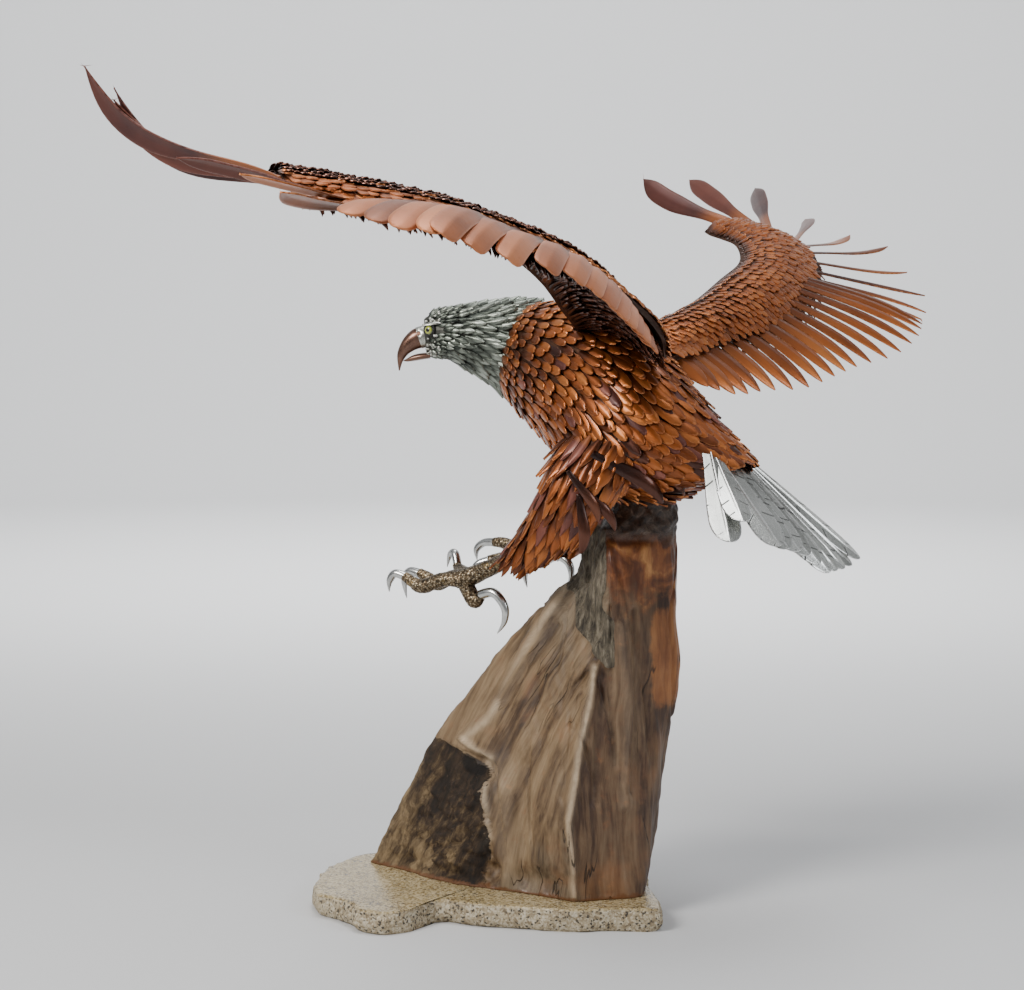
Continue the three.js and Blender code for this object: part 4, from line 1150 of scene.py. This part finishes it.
def woodCorners(level):
    if level not in loops:
        rise = woodRise(level)
        corners = []
        for x, y, topX, topY, left, ridge in woodEdges:
            move = rise[0] * left + rise[1] * ridge + rise[2] * (1 - left - ridge)
            corners.append(Vector((mix(x, topX, move) * stump["length"],
                                   (mix(y, topY, min(move, 1)) - 0.44) * stump["depth"],
                                   0)) * mm)
        loops[level] = corners, sum(corners, Vector()) / len(corners)
    return loops[level]


# ridges and furrows of the front face: height out in mm, half width, paleness (painted shade
# below zero), path of x z
woodFolds = [
    (6, 6, 0.9, [(131, 35), (126, 113), (121, 161), (131, 217), (140, 276), (154, 335),
                 (162, 390)]),
    (-5, 8, 0, [(118, 60), (112, 113), (108, 161), (118, 217), (127, 276), (140, 335),
                (150, 380)]),
    (6, 7, 0.8, [(121, 500), (85, 446), (64, 411), (29, 349), (2, 293), (-39, 256)]),
    (-7, 11, -0.7, [(100, 440), (74, 400), (45, 365), (22, 325)]),
    (6, 7, 0.9, [(-39, 252), (-20, 240), (2, 236), (-2, 205), (-9, 182), (-3, 147), (0, 113),
                 (-18, 92)]),
    (5, 18, 0.2, [(10, 225), (24, 160), (30, 60)]),
    (-4, 14, 0, [(52, 230), (58, 150), (48, 60)]),
    (4, 7, -0.5, [(110, 183), (112, 150), (118, 115), (124, 80)]),
    (-4, 8, -0.8, [(176, 380), (170, 300), (162, 190)]),
    (-3, 3, -0.5, [(186, 480), (187, 345), (192, 240)]),
    (4, 10, 0.2, [(200, 450), (214, 300), (205, 180)]),
    (-4, 5, -0.4, [(222, 470), (226, 330), (216, 200)])]
# x z of the middle, half sizes, depth: deep hole (painted black as its shade), cavities at the
# foot, below the knot
woodPits = [
    (-18, 216, 24, 19, 26), (6, 62, 13, 16, 16), (-4, 128, 9, 16, 14), (84, 58, 36, 17, 10),
    (224, 578, 34, 7, 6)]


def byPath(path, x, z):  # distance to the path
    best = 1e9
    for (ax, az), (bx, bz) in zip(path, path[1:]):
        dx, dz = bx - ax, bz - az
        k = min(max(((x - ax) * dx + (z - az) * dz) / (dx * dx + dz * dz), 0), 1)
        best = min(best, math.hypot(x - ax - dx * k, z - az - dz * k))
    return best


# x of the rot's right edge and of the ridge between the two front faces, from the foot up
rotReader = reader([[-3], [3], [-2], [-7], [-10], [0], [-60], [-140]])
ridgePath = reader([[131], [123], [131], [150], [186], [181], [186]])


def rotShare(x, z):  # 1 inside the rotten hollow
    right = rotReader((z - 60) / 210)[0]
    ragged = noise.noise(Vector((x * 0.02, z * 0.02, 4))) * 26
    upper = z + (x + 40) * 0.1 + ragged * ease(0, -30, x)
    return ease(10, -10, x - right) * ease(296, 214, upper)


def barkShare(x, z):  # 1 on the grey bark of the shoulder
    left = mix(122, 158, ease(506, 580, z)) if z > 494 else mix(158, 134, ease(416, 448, z))
    left += 18 * ease(412, 390, z)
    right = mix(192, 174, ease(455, 478, z)) + 6 * ease(490, 510, z)
    beside = ease(-5, 5, x - left) * ease(5, -5, x - right)
    return beside * ease(382, 392, z) * ease(604, 588, z)


def frontShare(u):  # 1 on the faces turned to the front, from the left foot to the right edge
    return ease(0.62, 0.55, u) + ease(0.94, 0.99, u)


def foldSum(x, z, spread, column):  # column 0 gives the folds' height, column 2 their paleness, painted shade below zero
    return sum(fold[column] * math.exp(-(byPath(fold[3], x, z) / (fold[1] * spread)) ** 2)
               for fold in woodFolds)


def woodMasks(p, u):
    x, z = p.x * 1000, p.z * 1000
    front = frontShare(u)
    rot = rotShare(x, z) * front
    oil = ease(440, 570, z + (x - 220) * 0.25) * ease(165, 190, x)
    edge = ease(238, 262, x) * ease(290, 345, z) * ease(505, 440, z)
    # paleness of the worn ridges; below zero it is painted shade in the furrows
    pale = front and foldSum(x, z, 0.8, 2) * front
    level = (z - stump["slab"]) / stump["height"]
    right = min(max(0.5 + (x - ridgePath(level)[0]) / 30, 0), 1)
    return (rot, barkShare(x, z) * front, oil), (mix(1, right, front), 0.5 + 0.5 * pale, edge)


def ripple(p, z, across, up, lean=0, shift=0):  # noise that is drawn out along the wood
    return noise.noise(Vector((p.x * across + z * lean, p.y * across, z * up + shift)))


def woodSpot(u, level):
    corners, middle = woodCorners(round(level, 5))
    p = smoothLoop(corners, u)
    z = (stump["slab"] + 0.3 + level * stump["height"]) * mm
    out = (p - middle).normalized()
    # ribs along the grain, lumps and furrows, in millimetres
    depth = ripple(p, z, 34, 2.4, 9) * 4.6 + ripple(p, z, 120, 6, 30) * 1.6
    depth += ripple(p, z, 11, 7) * 4.0
    patch = noise.noise(Vector((p.x * 4, 2, z * 4)))
    depth -= 6 * ease(0.12, 0.0, abs(ripple(p, z, 17, 1.1, 4, 5))) * ease(0.2, 0.5, patch + 0.4)
    x, high = p.x * 1000, z * 1000
    front = frontShare(u % 1)
    if front > 0:  # folds, pits, the rotten hollow and the bark
        forms = foldSum(x, high, 1, 0)
        forms -= sum(deep * math.exp(-((x - cx) / rx) ** 2 - ((high - cz) / rz) ** 2)
                     for cx, cz, rx, rz, deep in woodPits)
        crumbs = ripple(p, z, 70, 34, 60) + 0.5 * ripple(p, z, 160, 80, 120)
        forms += rotShare(x, high) * (crumbs * 8 - 9) * ease(0.0, 0.09, (u + 0.03) % 1)
        forms += barkShare(x, high) * (2.5 + 2.5 * ripple(p, z, 150, 40))
        depth += forms * front * 1.5
    knob = ease(0.84, 0.91, level)
    depth += knob * ripple(p, z, 26, 26) * 11
    depth += knob * ripple(p, z, 75, 75) * 5
    # a step at the left below the knob
    depth -= 7 * ease(0.742, 0.748, level) * ease(0.14, 0.11, p.x) * ease(0.9, 0.8, level)
    depth *= ease(0.0, 0.015, level) * 0.7 + 0.3
    p = p + out * depth * mm
    p.z = z + (ripple(p, 0, 30, 0, 0, 3) * 5 * mm * knob if level > 0.9 else 0)
    return p


def woodSkin(u, t):
    foot, crown = 0.02, 0.94  # shares of t where the bark begins and ends
    if t < foot:
        return woodSpot(u, 0)
    if t > crown:  # the top closes over in a low crown
        middle = woodCorners(1.0)[1]
        q = (t - crown) / (1 - crown)
        rim = woodSpot(u, 1.0)
        p = rim.lerp(middle, 1 - math.cos(q * math.pi / 2) if q < 1 else 1)
        p.z = rim.z * (1 - q) + (stump["slab"] + stump["height"]) * mm * q
        return p
    return woodSpot(u, (t - foot) / (crown - foot))


bm = surface(woodSkin, stump["around"], stump["levels"], closed=True)
plate = bm.verts.layers.float_vector["plate"]
masks = bm.verts.layers.float_vector.new("masks")
forms = bm.verts.layers.float_vector.new("forms")
for v in bm.verts:
    v[masks], v[forms] = woodMasks(v.co, (v[plate].x + 1) / 2)
single("driftwood_stump_grain", "driftwood_stump", "driftwood", woodFinish(), smoothed(bm))
print("driftwood made")

# granite slab
slab = {"length": 525, "depth": 356, "thickness": 35, "around": 260}
slabOutline = [
    [-0.505, -0.17], [-0.503, 0.21], [-0.465, 0.35], [-0.392, 0.50], [-0.23, 0.52],
    [-0.04, 0.50], [0.15, 0.53], [0.32, 0.495], [0.44, 0.34], [0.476, 0.17], [0.469, 0.03],
    [0.49, -0.24], [0.491, -0.44], [0.364, -0.44], [0.225, -0.455], [0.088, -0.405],
    [-0.05, -0.357], [-0.124, -0.309], [-0.171, -0.331], [-0.229, -0.455], [-0.303, -0.497],
    [-0.358, -0.455], [-0.415, -0.309]]
slabCorners = [Vector((x * slab["length"], y * slab["depth"], 0)) * mm for x, y in slabOutline]
slabEdge = reader([[0, -7], [3, -2.5], [12, 1.5], [22, 1], [30, -1], [33.5, -3], [35, -6]])


def slabSkin(u, t):
    rim = smoothLoop(slabCorners, u)
    out = rim.normalized()
    if t < 0.15:
        height, push, share = 0, -7, t / 0.15
    elif t < 0.6:
        height, push = slabEdge((t - 0.15) / 0.45)
        share = 1
    else:
        height, push, share = slab["thickness"], -6, (1 - t) / 0.4
    p = rim + out * push * mm
    side = ease(0.15, 0.2, t) * ease(0.63, 0.56, t)  # 1 on the chipped rim
    q = Vector((rim.x, rim.y, height * mm))
    chip = noise.noise(q * 34) * 4.5 + noise.noise(q * 90) * 3.0 + noise.noise(q * 230) * 1.4
    p = p + out * chip * mm * side
    p = p * share
    p.z = (height + (noise.noise(q * 90) * 1.6 * side if 0 < height < 34 else 0)) * mm
    return p


bm = surface(slabSkin, slab["around"], 80, closed=True)
markSharp(bm, 60)
single("granite_slab_stone", "granite_slab", "granite", graniteFinish(), bm)
print("slab made")

# studio: pale floor that sweeps up far away, soft lights
studio = {"flat": 7.5, "sweep": 2.5, "wall": 5.0}


def bowl(u, t):
    angle = u * 2 * math.pi
    if t < 0.3:
        radius, height = t / 0.3 * studio["flat"], 0
    elif t < 0.7:
        bend = (t - 0.3) / 0.4 * math.pi / 2
        radius = studio["flat"] + math.sin(bend) * studio["sweep"]
        height = (1 - math.cos(bend)) * studio["sweep"]
    else:
        radius = studio["flat"] + studio["sweep"]
        height = studio["sweep"] + (t - 0.7) / 0.3 * studio["wall"]
    return Vector((radius * math.cos(angle), radius * math.sin(angle), height))


floorMesh = bpy.data.meshes.new("studio_floor")
bm = surface(bowl, 96, 60)
bmesh.ops.remove_doubles(bm, verts=bm.verts, dist=0.0001)
smoothed(bm).to_mesh(floorMesh)
bm.free()
floor = bpy.data.objects.new("studio_floor", floorMesh)
paper = Wiring("studioPaper", Roughness=0.9, Base_Color=(0.66, 0.665, 0.67, 1))
floorMesh.materials.append(paper.material)
scene.collection.objects.link(floor)

world = bpy.data.worlds.new("studio")
world.use_nodes = True
world.node_tree.nodes["Background"].inputs[0].default_value = (0.88, 0.90, 0.93, 1)
world.node_tree.nodes["Background"].inputs[1].default_value = 0.5
scene.world = world

lamps = [  # place, aim, size, power, colour
    ((-2.6, -2.4, 3.0), (0, 0, 0.7), 1.6, 150, (1, 0.97, 0.93)),
    ((2.8, -1.6, 2.0), (0.1, 0, 0.7), 1.4, 30, (0.92, 0.95, 1)),
    ((0.2, 0.4, 3.6), (0, 0, 0.8), 2.0, 60, (1, 1, 1)),
    ((0.0, 3.6, 4.2), (0, 9, 0.4), 4.0, 560, (1, 1, 1)),
]
for i, (place, aim, size, power, colour) in enumerate(lamps):
    light = bpy.data.lights.new(f"softbox_{i + 1}", "AREA")
    lamp = bpy.data.objects.new(light.name, light)
    light.shape, light.size = "DISK", size
    light.energy, light.color = power, colour
    lamp.location = place
    lamp.rotation_euler = (Vector(aim) - Vector(place)).to_track_quat("-Z", "Y").to_euler()
    scene.collection.objects.link(lamp)
print("studio set")
